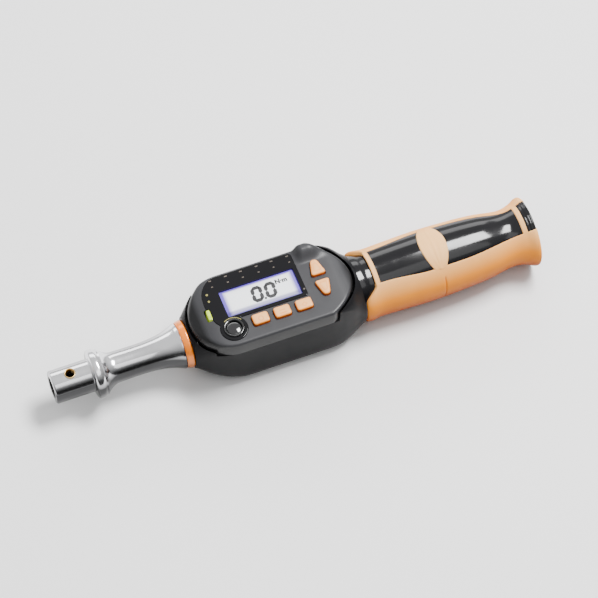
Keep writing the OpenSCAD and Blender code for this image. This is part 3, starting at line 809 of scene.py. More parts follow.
class WRENCH_OT_face(bpy.types.Operator):
    """Satin face: rings of the face's plan roll over its edge and close on the middle, each at the face's
    height, with a well cut for every key and for the window"""

    bl_idname = "wrench.face"
    bl_label = "Face"

    def execute(self, context):
        edge = sizes().edge
        plan = face_outline()
        rows = [np.column_stack([plan, np.full(len(plan), PART_Z + 0.15)])]
        for a in np.linspace(0, np.pi / 2, 7):
            ring = inset(plan, edge * (1 - np.cos(a)))
            rows.append(np.column_stack([ring, face_height(*ring.T) - edge + edge * np.sin(a)]))
        top = rows[-1][:, :2]
        spine = np.column_stack([np.clip(top[:, 0], FACE_X0 + 15, FACE_X1 - 14), np.zeros(len(top))])
        for q in np.linspace(1, 0.01, 40)[1:]:
            ring = spine + (top - spine) * q
            rows.append(np.column_stack([ring, face_height(*ring.T)]))
        face = rings_object("face_shell", np.stack(rows), sharp=30)
        hollow = np.linspace(CASE_X0 + 3, CASE_X1 - TAIL_WALL, 60)
        cutters = [rings_object("cutter", case_rings(hollow, wall=WALL))]
        cutters.append(prism(lens_outline(), LENS_LOW[2], CUT_TOP))
        spot, ring_r = power_place()
        low = PART_Z - 1
        cutters.append(prism(circle_outline(spot, ring_r + 0.02), low, CUT_TOP))
        cutters += [prism(key_outline(k, KEY_GAP), low, CUT_TOP) for k in KEY_NODES]
        cutters += [prism(arrow_outline(k, KEY_GAP), low, CUT_TOP) for k in ARROW_NODES]
        cutters.append(prism(box_outline(*plan_box("lcd_panel"), 0.4), low, CUT_TOP))
        lamp_at, lamp_size = plan_box("status_lamp")
        cutters.append(prism(box_outline(lamp_at, lamp_size + 0.1, 0.8), low, CUT_TOP))
        cut(face, cutters, sharp=32)
        # painted shade on the face's rolled edge and the walls of its wells, darker below the top
        grey = finish_plastic("satin_face", colours().face, rough=(0.30, 0.38), grain=2400.0, strength=0.08,
                              variation=0.12, gloss=0.25, painted_shade_below=(FACE_Z - 1.8, FACE_Z - 0.8, 0.25))
        settle(face, grey, replaces=["upper_shell"])
        return {"FINISHED"}


LOBE_RIM = 1.7


def lens_outline():
    """Plan of the window plate, anticlockwise: straight far and tail edges, a slanted head end, and an arc
    of a circle about the round key at its near corner."""
    (kx, ky), ring_r = power_place()
    x0, x1, y1 = LENS_LOW[0], LENS_HIGH[0], LENS_HIGH[1]
    y0 = middle("lcd_panel")[1] - 9.0
    lobe = ring_r + LOBE_RIM
    end = np.arcsin((y0 - ky) / lobe)
    body = rounded_path([(kx + lobe * np.cos(end) + 0.2, y0, 0), (x1, y0, 1.6), (x1, y1, 2.0),
                         (x0 + 5.5, y1, 4.5),
                         (x0 + 0.6, y1 - 6.5, 3.5), (x0, 3.0, 3.0), (x0 + 1.6, y0 + 1.5, 2.0),
                         (kx + lobe * np.cos(2.6), ky + lobe * np.sin(2.6), 0)], closed=False)[:-1]
    a = np.linspace(2.6, 2 * np.pi + end, 44)
    arc = np.column_stack([kx + lobe * np.cos(a), ky + lobe * np.sin(a)])
    return fine_path(np.concatenate([body, arc]), 0.9)


CELL_BORDER = np.array([2.4, 2.6])
LAMP_SIZE, LAMP_WELL = (1.8, 5.3), (2.2, 5.7)
DIGIT_PITCH = 6.4
INK, PRINT = 0.05, 0.03
SEGMENTS = {"a": ((0, 2), (1, 2)), "b": ((1, 2), (1, 1)), "c": ((1, 1), (1, 0)), "d": ((0, 0), (1, 0)),
            "e": ((0, 1), (0, 0)), "f": ((0, 2), (0, 1)), "g": ((0, 1), (1, 1))}


def digit(lit, x, y, width, height, z, thick=1.75, slant=0.08):
    """Seven-segment digit: each lit segment is a flat bar with pointed ends between two points of a 1 by 2
    grid, leaning by slant times its height."""
    parts = []
    for key in lit:
        (ax, ay), (bx, by) = SEGMENTS[key]
        a = np.array([x + ax * width, y + ay * height / 2])
        b = np.array([x + bx * width, y + by * height / 2])
        way = (b - a) / np.linalg.norm(b - a)
        side = np.array([-way[1], way[0]]) * thick / 2
        a, b = a - way * 0.2, b + way * 0.2
        outline = np.array([a, a + way * thick / 2 - side, b - way * thick / 2 - side, b,
                            b - way * thick / 2 + side, a + way * thick / 2 + side])
        outline[:, 0] += slant * (outline[:, 1] - y)
        parts.append(prism(outline, z, z + INK))
    return parts


class WRENCH_OT_window(bpy.types.Operator):
    """Window plate, read-out, digits, printed marks and status lamp"""

    bl_idname = "wrench.window"
    bl_label = "Window and read-out"

    def execute(self, context):
        low, high = LENS_LOW[2], LENS_HIGH[2]
        lens = pillow("window_plate", inset(lens_outline(), 0.12), low, high, 0.3, rings=1, sharp=50)
        centre, size = plan_box("lcd_panel")
        size = size - CELL_BORDER
        spot, ring_r = power_place()
        lamp_low, lamp_high = span("status_lamp")
        lamp_at = middle("status_lamp")[:2]
        cutters = [prism(box_outline(centre, size, 0.7), low - 1, high + 1),
                   prism(circle_outline(spot, ring_r + 0.05), low - 1, high + 1),
                   prism(box_outline(lamp_at, LAMP_WELL, 0.9), low - 1, high + 1)]
        cutters += [prism(key_outline(k, KEY_GAP), low - 1, high + 1) for k in KEY_NODES]
        cut(lens, cutters, sharp=50, flat_top=True)
        soften(lens, 0.12, 2, 50)
        gloss = finish_plastic("window_gloss", colours().gloss, rough=(0.05, 0.10), grain=900.0,
                               strength=0.02, gloss=0.3)
        settle(lens, gloss, replaces=["display_lens"])

        cell_top = low + 0.25
        cell_plan = fine_path(box_outline(centre, size - 0.1, 0.6), 1.5)
        cell = pillow("read_out_cell", cell_plan, span("lcd_panel")[0][2], cell_top, 0.1)
        reflective = finish_read_out("read_out", centre, size, colours().read_out, colours().border)
        settle(cell, reflective, replaces=["lcd_panel"])

        height = sizes().digit_h
        width = height * 0.56
        left, base = centre[0] - 3.65, centre[1] - height / 2 + 0.3
        parts = []
        for x_at in (left, left + DIGIT_PITCH):
            parts += digit("abcdef", x_at, base, width, height, cell_top)
        point = circle_outline((left + width / 2 + DIGIT_PITCH / 2, base - 0.1), 0.6, 20)
        parts.append(prism(point, cell_top, cell_top + INK))
        digits = joined("read_out_digits", parts)
        ink = finish_plastic("read_out_ink", (0.01, 0.01, 0.012), rough=(0.3, 0.4), strength=0.0)
        settle(digits, ink)
        unit = lettering("read_out_unit", "N\u00b7m", (left + width + 8.0, base + height - 1.4, cell_top),
                         3.2, bold=0.16)
        settle(unit, ink)

        marks = []
        for i in range(6):
            x = LENS_LOW[0] + 6.9 + 7.45 * i
            for y, length in ((LENS_HIGH[1] - 1.6, 1.3), (LENS_HIGH[1] - 4.9, 0.9)):
                bar = box_outline((x + 0.2 * (i % 2), y), (length, 0.55), 0.1)
                marks.append(prism(bar, high, high + PRINT))
        marks.append(prism(circle_outline((LENS_HIGH[0] - 0.9, -2.4), 0.45, 16), high, high + PRINT))
        printed = joined("printed_marks", marks)
        settle(printed, finish_plastic("printed_marks", colours().marks, strength=0.0, variation=0.25))
        spots = ((LENS_LOW[0] + 3.2, 10.2), (LENS_LOW[0] + 2.9, 6.6))
        dots = joined("printed_dots", [prism(circle_outline(p, 0.55, 16), high, high + PRINT) for p in spots])
        settle(dots, finish_plastic("printed_dots", (0.24, 0.21, 0.05), strength=0.0))

        lamp_plan = fine_path(box_outline(lamp_at, LAMP_SIZE, 0.8), 0.4)
        lamp = pillow("status_light", lamp_plan, lamp_low[2], lamp_high[2], 0.35)
        settle(lamp, finish_lamp("lamp_pipe", colours().lamp), replaces=["status_lamp"])
        return {"FINISHED"}


class WRENCH_OT_keys(bpy.types.Operator):
    """Rectangular and arrow keys: crowned pillows on a wider hidden flange, each with a raised sign"""

    bl_idname = "wrench.keys"
    bl_label = "Orange keys"

    def execute(self, context):
        top = span("key_mode")[1][2]
        rubber = finish_rubber("key_rubber", colours().orange, top - 1.3, top)
        raised = finish_plastic("key_sign", pale(colours().orange, 0.2), rough=(0.3, 0.4), strength=0.0,
                                gloss=0.3)
        for node in KEY_NODES + ARROW_NODES:
            low, high = span(node)
            arrow = node in ARROW_NODES
            plan = arrow_outline if arrow else key_outline
            grow, flange_top = ARROW_FLANGE if arrow else KEY_FLANGE
            top = high[2] - KEY_CROWN
            cap = pillow(node + "_cap", plan(node), low[2] + 1.2, top, KEY_EDGE, crown=KEY_CROWN)
            flange = pillow("flange", plan(node, grow), low[2] + 0.6, low[2] + flange_top, 0.2, rings=3)
            settle(joined(node + "_cap", [cap, flange]), rubber, node + "_body", [node])
            sign = arrow_sign(node, high[2]) if arrow else key_sign(node, (low + high)[:2] / 2, top)
            settle(sign, raised, node + "_body")
        return {"FINISHED"}


def arrow_sign(node, top):
    """Raised line inside an arrow key's own outline, 0.1 high."""
    outline = arrow_outline(node)
    centre = outline.mean(axis=0)
    return ring_plate(node + "_sign", centre + (outline - centre) * 0.55, 0.35, top - 0.1, top)


def ring_plate(name, outline, width, low, high):
    """Thin raised line along an outline: four rings, outer low, outer high, inner high, inner low."""
    inner = inset(outline, width)
    rows = [np.column_stack([p, np.full(len(p), z)]) for p, z in
            ((outline, low), (outline, high), (inner, high), (inner, low))]
    return rings_object(name, np.stack(rows), wrap=True)


def key_sign(node, centre, z):
    """Generic raised sign on a key: a ring, two bars or a diamond."""
    low, high = z - 0.05, z + 0.12
    if node == "key_units":
        return ring_plate(node + "_sign", circle_outline(centre, 1.3, 40), 0.4, low, high)
    if node == "key_mode":
        spots = [centre + np.array([0, side * 0.75]) for side in (-1, 1)]
        bars = [prism(box_outline(spot, (3.0, 0.5), 0.2), low, high) for spot in spots]
        return joined(node + "_sign", bars)
    diamond = centre + np.array([[1.5, 0], [0, 1.2], [-1.5, 0], [0, -1.2]])
    return ring_plate(node + "_sign", fine_path(diamond, 0.3), 0.35, low, high)


ROUND_STEPS = 96
ROUND_GAP = 1.3
DOME_DROP, DOME_RISE = 0.9, 0.8


class WRENCH_OT_power_key(bpy.types.Operator):
    """Glossy round key: a shallow dome in a ring with a rolled lip, and a printed arc beside it"""

    bl_idname = "wrench.power_key"
    bl_label = "Round key"

    def execute(self, context):
        (x, y), ring_r = power_place()
        low, high = span("power_key_bezel")
        gloss = finish_plastic("round_key_gloss", colours().gloss, rough=(0.05, 0.10), grain=800.0,
                               strength=0.02, coat=1.0)
        profile = rounded_path([(low[2], ring_r, 0.2), (high[2], ring_r - 0.1, 0.6),
                                (high[2] - 0.1, ring_r - 0.9, 0.5),
                                (high[2] - 1.0, ring_r - 1.15, 0.3), (low[2], ring_r - 1.1, 0.1)])
        bezel = upright("round_key_ring", (x, y), profile, ROUND_STEPS, wrap=True)
        settle(bezel, gloss, replaces=["power_key_bezel"])
        key_low, key_high = span("power_key")
        cap_r = ring_r - ROUND_GAP
        dome = np.linspace(0.15, 1.45, 14)
        side = [[key_low[2] + 1, cap_r]]
        dish = np.column_stack([key_high[2] - DOME_DROP + DOME_RISE * np.sin(dome), cap_r * np.cos(dome)])
        cap = upright("round_key_cap", (x, y), np.concatenate([side, dish]), ROUND_STEPS)
        settle(cap, gloss, "power_key_body", ["power_key"])
        # printed arc on the window, beyond the far quarter of the ring
        b = np.radians(np.linspace(35, 125, 24))
        mid = ring_r + 0.75
        sides = [np.column_stack([x + r * np.cos(b), y + r * np.sin(b)]) for r in (mid + 0.16, mid - 0.16)]
        arc = prism(np.concatenate([sides[0], sides[1][::-1]]), LENS_HIGH[2], LENS_HIGH[2] + PRINT)
        arc.name = "round_key_arc"
        settle(arc, finish_plastic("printed_arc", (0.24, 0.21, 0.06), strength=0.0))
        return {"FINISHED"}


# ---- Socket, neck and ring ----

COLLAR_X, COLLAR_W = 18.6, 4.6
SOCKET_R, SOCKET_BORE, SOCKET_DEPTH = 7.74, 5.0, 17.8
NECK_WAIST_X = COLLAR_X + COLLAR_W + 14.8


def neck_profile():
    """Profile of socket, collar and neck as (x, r): straight tube, a rib with a round crest, a concave cone
    whose radius falls with the square of the distance, and a flare that opens with its cube."""
    rib, waist, flare = sizes().collar_d / 2, sizes().waist_d / 2, sizes().flare_d / 2
    ring_x = RING_LOW[0] - 0.3
    cone = np.linspace(0, 1, 16)
    cone = np.column_stack([COLLAR_X + COLLAR_W + 0.7 + 6.4 * cone,
                            waist + 0.15 + (rib - 0.9 - waist) * (1 - cone) ** 2])
    t = np.linspace(0, 1, 22)
    bell = np.column_stack([NECK_WAIST_X + (ring_x - 0.5 - NECK_WAIST_X) * t, waist + (flare - waist) * t**3])
    head = rounded_path([(SOCKET_DEPTH, 0.02, 0), (SOCKET_DEPTH, SOCKET_BORE, 0.2), (0.4, SOCKET_BORE, 0.3),
                         (0.0, 5.45, 0.2), (0.0, 7.2, 0.35), (0.55, SOCKET_R, 0.3),
                         (COLLAR_X - 0.1, SOCKET_R, 0.5), (COLLAR_X + 0.15, rib - 1.3, 0.7),
                         (COLLAR_X + 0.9, rib, 0.8), (COLLAR_X + COLLAR_W - 1.2, rib, 0.9),
                         (COLLAR_X + COLLAR_W + 0.1, rib - 0.9, 0.5)], closed=False)
    tail = rounded_path([(ring_x - 0.1, flare, 0.15), (ring_x, flare - 0.3, 0.1), (ring_x, NECK_BORE, 0.2),
                         (CASE_X0 + 3, NECK_BORE, 0), (CASE_X0 + 3, 0.02, 0)], closed=False)
    return np.concatenate([head, cone, bell, tail])


class WRENCH_OT_neck(bpy.types.Operator):
    """Plated socket, collar and neck as one surface of revolution, with the lock pin's hole, its brass bush
    and the orange ring"""

    bl_idname = "wrench.neck"
    bl_label = "Socket, neck and ring"

    def execute(self, context):
        # under=0.06 paints a dark reflection on the lower side of the plated steel
        steel = finish_metal("plated_steel", colours().steel, rough=(0.12, 0.20), lines=(1500, 9, 9),
                             strength=0.08, under=0.06)
        neck = turned("socket_and_neck", neck_profile(), 160, sharp=32)
        lock = middle("lock_pin_bush")
        cut(neck, [prism(circle_outline(lock[:2], 2.72, 48), 4.2, 14)], sharp=32)
        settle(neck, steel, replaces=["torque_shaft"])

        low, high = span("lock_pin_bush")
        profile = rounded_path([(low[2] + 0.3, 2.7, 0.1), (high[2] - 0.02, 2.66, 0.3),
                                (high[2] - 0.02, 2.2, 0.3), (high[2] - 0.6, 1.92, 0.2),
                                (low[2] + 0.3, 1.9, 0.1)])
        bush = upright("lock_bush", lock, profile, 64, wrap=True)
        brass = finish_metal("brass", (0.72, 0.50, 0.22), (0.25, 0.4), (60, 60, 900))
        settle(bush, brass, replaces=["lock_pin_bush"])

        x0, x1, flare = RING_LOW[0], RING_HIGH[0], RING_HIGH[1]
        profile = rounded_path([(x0, 9.35, 0.1), (x0, flare - 0.75, 0.3), (x0 + 0.9, flare - 0.35, 0.4),
                                (x1 - 0.8, flare - 0.02, 0.5), (x1, flare - 0.4, 0.3), (x1, 9.35, 0.1)])
        ring = turned("orange_ring", profile, 144, closed=True)
        # painted shade: the ring's tone falls to 0.4 from 5 mm above the axis to 5 mm below it
        anodised = finish_plastic("ring_anodised", colours().ring, rough=(0.20, 0.30), grain=1500.0,
                                  strength=0.05, coat=0.3, metallic=0.25,
                                  painted_shade_below=(-5.0, 5.0, 0.4))
        settle(ring, anodised, replaces=["front_ring"])
        return {"FINISHED"}


# ---- Grip ----

GRIP_FRONT = GRIP_X0 + 8.5
PAD_X, PAD_HALF = GRIP_FRONT + 29.3, 6.5
RING_1 = (GRIP_FRONT - 2.0, GRIP_FRONT + 0.6)
RING_2 = (GRIP_X1 - 7.0, GRIP_X1 - 4.6)
LIP = 0.3
RECESS_R, RECESS_DEPTH = 13.4, 3.4
CELL_BORE, TUBE_BORE, CELL_BAY_X = 11.0, 9.7, 30


def grip_radius(x):
    """Radius of the grip: full behind its front edge, narrowing to a waist, then flaring to the rim."""
    end = GRIP_X1
    return through([(GRIP_X0, 16.2), (GRIP_X0 + 2.5, 16.75), (GRIP_FRONT, 16.1), (GRIP_FRONT + 10, 16.4),
                    (GRIP_FRONT + 25, 16.75), (GRIP_FRONT + 44, 16.1), (end - 24.5, 15.3), (end - 11.5, 13.5),
                    (end - 6, 14.6), (end - 1.4, 16.55), (end, 16.3)], x)


def panel_angle(x):
    """Half angle of the black panels about the top, in radians."""
    return np.radians(through([(GRIP_X0, 33), (GRIP_FRONT, 34), (GRIP_FRONT + 22, 40), (GRIP_FRONT + 38, 40),
                               (GRIP_X1 - 9, 31), (GRIP_X1, 29)], x))


def on_grip(x, angle, r):
    """Point at x whose direction turns from the top towards the near side by the angle."""
    return np.stack([np.broadcast_to(x, r.shape), -r * np.sin(angle), r * np.cos(angle)], axis=-1)


def rolled(distance, radius):
    """Drop of a quarter circle edge at a distance in from it."""
    d = np.clip(distance, 0, radius)
    return radius - np.sqrt(np.maximum(radius**2 - (radius - d) ** 2, 0))


class WRENCH_OT_handle_core(bpy.types.Operator):
    """Black handle body: a tube whose outer radius is the neck's in front and, inside the panels, the
    grip's less a lip, sinking under the cover elsewhere"""

    bl_idname = "wrench.handle_core"
    bl_label = "Handle body"

    def execute(self, context):
        cols = 240
        angle = np.linspace(-np.pi, np.pi, cols, endpoint=False)[None]
        x = np.concatenate([np.linspace(GRIP_X0 - 0.2, GRIP_FRONT + 1, 30),
                            np.linspace(GRIP_FRONT + 1.5, GRIP_X1 - 8, 120),
                            np.linspace(GRIP_X1 - 7.6, GRIP_X1 - 0.5, 56)])[:, None]
        raised = ease((panel_angle(x) * 1.04 - np.abs(angle)) / 0.05 + 1.0)
        behind = ease((x - GRIP_FRONT + 1.2) / 1.2)
        neck = through([(GRIP_X0 - 1, 15.5), (GRIP_X0 + 2, 15.2), (GRIP_X0 + 4.5, 14.65), (GRIP_FRONT, 14.4),
                        (GRIP_FRONT + 9, 14.4)], x)
        r = neck * (1 - behind) + behind * (grip_radius(x) - 1.35 + (1.35 - LIP) * raised)
        for groove in (GRIP_X1 - 3.3, GRIP_X1 - 1.9):
            r = r - 0.24 * raised * np.exp(-((x - groove) / 0.3) ** 2)
        end_round = rolled(GRIP_X1 - 0.5 - x, 0.8)
        r = r - end_round
        outer = on_grip(x, angle, r)
        recess = GRIP_X1 - RECESS_DEPTH
        bay = GRIP_X0 + CELL_BAY_X
        inner = []
        for at, radius in ((GRIP_X1 - 0.4, RECESS_R + 0.35), (GRIP_X1 - 0.6, RECESS_R + 0.05),
                           (recess, RECESS_R), (recess, CELL_BORE), (bay, CELL_BORE), (bay - 0.5, TUBE_BORE),
                           (GRIP_X0 - 0.2, TUBE_BORE)):
            inner.append(on_grip(np.array([[at]]), angle, np.full((1, cols), radius)))
        core = rings_object("handle_body", np.concatenate([outer] + inner), wrap=True, sharp=38)
        gloss = finish_plastic("handle_gloss", colours().gloss, rough=(0.10, 0.15), grain=700.0,
                               strength=0.03, gloss=0.4)
        settle(core, gloss, replaces=["grip_core"])
        return {"FINISHED"}


def strip(name, x_low, x_high, angle, lift=0.0, ridge=0.0):
    """Band across the handle's top between two edges given along the angle: rounded on both edges, with its
    own underside, and an optional low ridge down its middle."""
    u = np.concatenate([[0, 0.03, 0.07, 0.14, 0.22], np.linspace(0.3, 0.7, 13),
                        [0.78, 0.86, 0.93, 0.97, 1]])[None]
    x = x_low[:, None] + (x_high - x_low)[:, None] * u
    near = np.minimum(x - x_low[:, None], x_high[:, None] - x)
    width = (x_high - x_low)[:, None]
    r = grip_radius(x) + lift - rolled(near, 0.55)
    middle_line = np.exp(-((u - 0.5) * width / 0.45) ** 2)
    veins = np.exp(-((np.abs(u - 0.5) * width - 2.6 * np.cos(1.4 * angle[:, None] / angle.max())) / 0.4) ** 2)
    r = r + ridge * (middle_line + 0.6 * veins)
    top = on_grip(x, angle[:, None], r)
    low_x = x[:, ::-1]
    under = on_grip(low_x, angle[:, None], grip_radius(low_x) - 1.2)
    rings = np.concatenate([top, under], axis=1)
    return rings_object(name, rings)


class WRENCH_OT_grip_cover(bpy.types.Operator):
    """Orange soft cover: a shell round the sides and underside from panel edge to panel edge, with two
    bands and a leaf-shaped thumb pad across the top"""

    bl_idname = "wrench.grip_cover"
    bl_label = "Soft cover"

    def execute(self, context):
        s = np.concatenate([np.linspace(0, 0.02, 8), np.linspace(0.025, 0.975, 150),
                            np.linspace(0.98, 1, 8)])[None]
        base = np.sort(np.concatenate([np.linspace(0, 0.02, 9), np.linspace(0.025, 0.985, 200),
                                       np.linspace(0.988, 1, 9),
                                       (PAD_X + 1.7 - GRIP_X0 + np.linspace(-0.8, 0.8,
                                                                            11)) / (GRIP_X1 - GRIP_X0)]))
        along_x = GRIP_X0 + 0.2 + (GRIP_X1 - 0.5 - GRIP_X0) * base[:, None]
        edge = panel_angle(along_x)
        angle = edge + s * (2 * np.pi - 2 * edge)
        from_top = np.minimum(angle, 2 * np.pi - angle)
        lead = 1 - ease((from_top - np.radians(36)) / np.radians(27))
        front = GRIP_X0 + 0.2 + (RING_1[0] - GRIP_X0 - 0.2) * lead
        x = front + (GRIP_X1 - 0.3 - front) * base[:, None]
        r = grip_radius(x)
        side = np.minimum(s, 1 - s) * (2 * np.pi - 2 * edge) * r
        ends = np.minimum(x - front, GRIP_X1 - 0.3 - x)
        low_side = ease((from_top - 0.98) / 0.1) * (1 - ease((from_top - 2.0) / 0.1))
        groove = np.exp(-((x - PAD_X - 0.9) / 0.35) ** 2) * low_side
        r = r - rolled(side, 0.7) - rolled(ends, 0.9) - 0.6 * groove
        outer = on_grip(x, angle, r)
        inner = on_grip(x, angle, grip_radius(x) - sizes().cover_t)[:, ::-1]
        shell = rings_object("cover", np.concatenate([outer, inner], axis=1), sharp=50)

        def across(x_at, extra=0.05):
            half = panel_angle(np.array([x_at]))[0] + extra
            return np.linspace(-half, half, 61)

        band = across(RING_1[0])
        one = np.ones_like(band)
        parts = [shell, strip("band", RING_1[0] * one, RING_1[1] * one, band, lift=-0.25)]
        band = across(RING_2[0])
        parts.append(strip("band", RING_2[0] * one, RING_2[1] * one, band))
        leaf = across(PAD_X)
        half = PAD_HALF * (1 - 0.56 * (leaf / leaf.max()) ** 2)
        parts.append(strip("pad", PAD_X - half, PAD_X + half, leaf, lift=0.12, ridge=0.16))
        cover = joined("soft_cover", parts)
        orange = finish_soft_cover("soft_cover", colours().cover, colours().cover_painted_shade)
        settle(cover, orange, replaces=["grip_cover"])
        return {"FINISHED"}


CAP_SHANK_R, CAP_R = 10.6, 13.05
FLUTES, FLUTE_DEPTH = 36, 0.22
SLOT_W, SLOT_DEPTH, SLOT_HALF = 2.0, 1.2, 9.0


class WRENCH_OT_end_cap(bpy.types.Operator):
    """Screwed end cap: a fluted rim and a low dome with a coin slot, and its seal ring"""

    bl_idname = "wrench.end_cap"
    bl_label = "End cap"

    def execute(self, context):
        a = np.linspace(0, 2 * np.pi, 288, endpoint=False)
        x0, x1 = CAP_LOW[0], CAP_HIGH[0]
        head = GRIP_X1 - 2.0
        profile = rounded_path([(x0, 0.02, 0), (x0, CAP_SHANK_R, 0.4), (head, CAP_SHANK_R, 0.2),
                                (head, CAP_R, 0.2), (x1 - 0.9, CAP_R, 0.7), (x1 - 0.35, 11.6, 0.5),
                                (x1 - 0.02, 6.0, 2.0), (x1 - 0.02, 0.02, 0)], closed=False)
        x, r = profile.T
        flutes = FLUTE_DEPTH * (0.5 + 0.5 * np.cos(FLUTES * a)) ** 2
        grip = ease((x - head + 0.2) / 0.2) * ease((r - 12.2) / 0.4)
        r = r[:, None] - grip[:, None] * flutes
        rings = np.stack([np.broadcast_to(x[:, None], r.shape), -r * np.sin(a), r * np.cos(a)], axis=-1)
        cap = rings_object("end_cap", rings)
        slot = prism(box_outline((x1, 0), (2 * SLOT_DEPTH, SLOT_W), 0.0), -SLOT_HALF, SLOT_HALF)
        cut(cap, [slot])
        black = finish_plastic("cap_black", shade(colours().black, 1.6), rough=(0.34, 0.46), grain=1500.0,
                               strength=0.2, gloss=0.15)
        settle(cap, black, "end_cap", ["battery_cap"])
        low, high = span("cap_seal")
        ring_r, tube = high[1] - 0.8, 0.48
        b = np.linspace(0, 2 * np.pi, 20, endpoint=False)
        seal = turned("cap_seal_ring", np.column_stack([(low[0] + high[0]) / 2 + tube * np.cos(b),
                                                        ring_r + tube * np.sin(b)]), 120, closed=True)
        rubber = finish_plastic("seal_rubber", (0.02, 0.02, 0.02), rough=(0.5, 0.6), strength=0.1)
        settle(seal, rubber, "cap_seal_ring", ["cap_seal"])
        return {"FINISHED"}


# ---- Frame nodes that stay as they are ----

INNER_FINISHES = {
    "board_screws": ("metal", (0.62, 0.60, 0.55)),
    "handle_tube": ("metal", (0.48, 0.49, 0.51)), "handle_pin": ("metal", (0.60, 0.60, 0.62)),
    "battery_springs": ("metal", (0.75, 0.75, 0.77)), "cap_contact": ("metal", (0.75, 0.75, 0.77)),
    "key_switches": ("metal", (0.60, 0.60, 0.62)), "main_board": ("plastic", (0.02, 0.16, 0.07)),
    "sounder": ("plastic", (0.02, 0.02, 0.02)), "processor_chips": ("plastic", (0.03, 0.03, 0.035)),
    "strain_gauges": ("plastic", (0.70, 0.42, 0.12)), "gauge_leads": ("plastic", (0.45, 0.03, 0.02)),
    "battery_leads": ("plastic", (0.45, 0.03, 0.02)), "shell_gasket": ("plastic", (0.03, 0.03, 0.03)),
    "lcd_backlight": ("plastic", (0.80, 0.80, 0.78)), "battery_cells": ("plastic", (0.06, 0.09, 0.22)),
}


class WRENCH_OT_inner_finishes(bpy.types.Operator):
    """Finishes for the sealed inner pieces, which keep their own meshes"""

    bl_idname = "wrench.inner_finishes"
    bl_label = "Inner pieces"

    def execute(self, context):
        for node, (kind, colour) in INNER_FINISHES.items():
            make = finish_metal if kind == "metal" else finish_plastic
            material = make(node + "_finish", colour)
            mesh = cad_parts[node].data
            mesh.materials.clear()
            mesh.materials.append(material)
        return {"FINISHED"}


# ---- Stage ----

AIM = (119.5, 0.0, 6.7)
CAMERA_AZIMUTH, CAMERA_ELEVATION = -21.0, 59.0
CAMERA_DISTANCE, CAMERA_LENS = 1500.0, 197.8


def direction(azimuth, elevation):
    """Unit vector towards a camera at an azimuth, where 0 stands on the near side, and an elevation."""
    a, e = np.radians(azimuth), np.radians(elevation)
    return Vector((np.sin(a) * np.cos(e), -np.cos(a) * np.cos(e), np.sin(e)))


def soft_light(name, azimuth, elevation, distance, size, power, colour=(1, 1, 1)):
    """Rectangular area light that faces the wrench."""
    lamp = bpy.data.lights.new(name, "AREA")
    lamp.shape = "RECTANGLE"
    lamp.size, lamp.size_y = size
    lamp.energy = power
    lamp.color = colour
    obj = bpy.data.objects.new(name, lamp)
    way = direction(azimuth, elevation)
    obj.location = Vector(AIM) * MM + way * distance
    obj.rotation_euler = way.to_track_quat("Z", "Y").to_euler()
    bpy.context.collection.objects.link(obj)


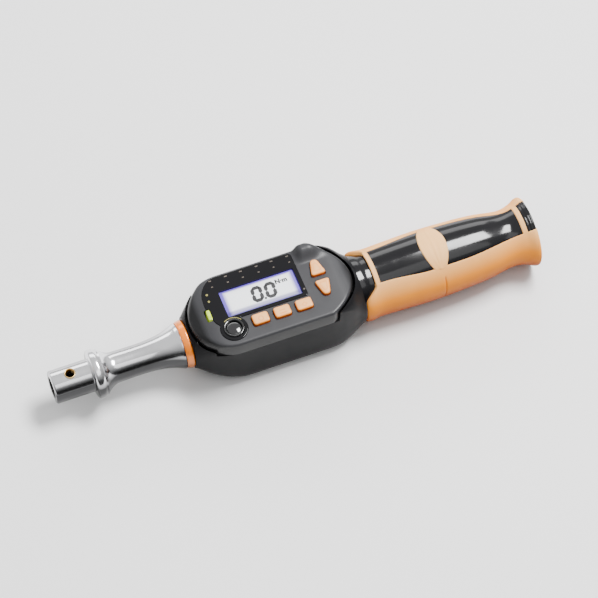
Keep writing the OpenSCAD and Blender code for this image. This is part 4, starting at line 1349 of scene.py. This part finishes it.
class WRENCH_OT_stage(bpy.types.Operator):
    """Pale floor, soft lights, world and camera"""

    bl_idname = "wrench.stage"
    bl_label = "Stage"

    def execute(self, context):
        reach = 3000.0
        corners = np.array([[-reach, -reach], [reach, -reach], [reach, reach], [-reach, reach]])
        floor = make_object("floor", np.column_stack([corners, np.full(4, -BASE_H - 0.02)]), [[0, 1, 2, 3]])
        paper = Nodes("pale_floor")
        paper.set(Roughness=0.7)
        grey = paper.ramp(paper.noise(3.0, 2.0), [(0.3, (0.88, 0.88, 0.88)), (0.7, (0.91, 0.91, 0.91))])
        paper.link(grey, paper.shader.inputs["Base Color"])
        floor.data.materials.append(paper.material)

        world = bpy.data.worlds.new("studio")
        context.scene.world = world
        world.use_nodes = True
        tree = world.node_tree
        # sky that is bright overhead and behind the wrench, and dark towards the near horizon
        way = tree.nodes.new("ShaderNodeTexCoord")
        bright = tree.nodes.new("ShaderNodeVectorMath")
        bright.operation = "DOT_PRODUCT"
        bright.inputs[1].default_value = (0.0, 0.62, 0.78)
        tree.links.new(way.outputs["Generated"], bright.inputs[0])
        level = tree.nodes.new("ShaderNodeMapRange")
        for socket, value in (("From Min", -0.3), ("From Max", 0.6), ("To Min", 0.03), ("To Max", 0.95)):
            level.inputs[socket].default_value = value
        tree.links.new(bright.outputs["Value"], level.inputs["Value"])
        tree.links.new(level.outputs["Result"], tree.nodes["Background"].inputs["Strength"])
        tree.nodes["Background"].inputs["Color"].default_value = (1.0, 1.0, 1.0, 1.0)
        soft_light("key_softbox", 106, 64, 1.3, (0.6, 0.35), 36)
        soft_light("far_softbox", 175, 26, 1.6, (1.6, 0.5), 10)
        soft_light("near_softbox", 25, 60, 1.9, (1.2, 0.8), 5)

        camera = bpy.data.cameras.new("camera")
        camera.lens, camera.sensor_width = CAMERA_LENS, 36.0
        camera.clip_start, camera.clip_end = 0.05, 20.0
        obj = bpy.data.objects.new("camera", camera)
        way = direction(CAMERA_AZIMUTH, CAMERA_ELEVATION)
        obj.location = (Vector(AIM) + way * CAMERA_DISTANCE) * MM
        obj.rotation_euler = way.to_track_quat("Z", "Y").to_euler()
        context.collection.objects.link(obj)
        context.scene.camera = obj
        return {"FINISHED"}


# ---- Add-on ----

STEPS = (WRENCH_OT_stage, WRENCH_OT_neck, WRENCH_OT_case, WRENCH_OT_face, WRENCH_OT_window, WRENCH_OT_keys,
         WRENCH_OT_power_key, WRENCH_OT_handle_core, WRENCH_OT_grip_cover, WRENCH_OT_end_cap,
         WRENCH_OT_inner_finishes)


class WRENCH_PT_panel(bpy.types.Panel):
    """Sidebar panel with the sizes, the colours and one button for each group of pieces"""

    bl_idname = "WRENCH_PT_panel"
    bl_label = "Torque wrench"
    bl_space_type = "VIEW_3D"
    bl_region_type = "UI"
    bl_category = "Torque wrench"

    def draw(self, context):
        for group in (context.scene.torque_wrench_sizes, context.scene.torque_wrench_colours):
            box = self.layout.box()
            for key in group.__annotations__:
                box.prop(group, key)
        for step in STEPS:
            self.layout.operator(step.bl_idname)


CLASSES = (TorqueWrenchSizes, TorqueWrenchColours, *STEPS, WRENCH_PT_panel)


def register():
    for cls in CLASSES:
        bpy.utils.register_class(cls)
    bpy.types.Scene.torque_wrench_sizes = bpy.props.PointerProperty(type=TorqueWrenchSizes)
    bpy.types.Scene.torque_wrench_colours = bpy.props.PointerProperty(type=TorqueWrenchColours)


def unregister():
    del bpy.types.Scene.torque_wrench_colours
    del bpy.types.Scene.torque_wrench_sizes
    for cls in reversed(CLASSES):
        bpy.utils.unregister_class(cls)


def main():
    register()
    for step in STEPS:
        group, name = step.bl_idname.split(".")
        getattr(getattr(bpy.ops, group), name)()


if __name__ == "__main__":
    main()
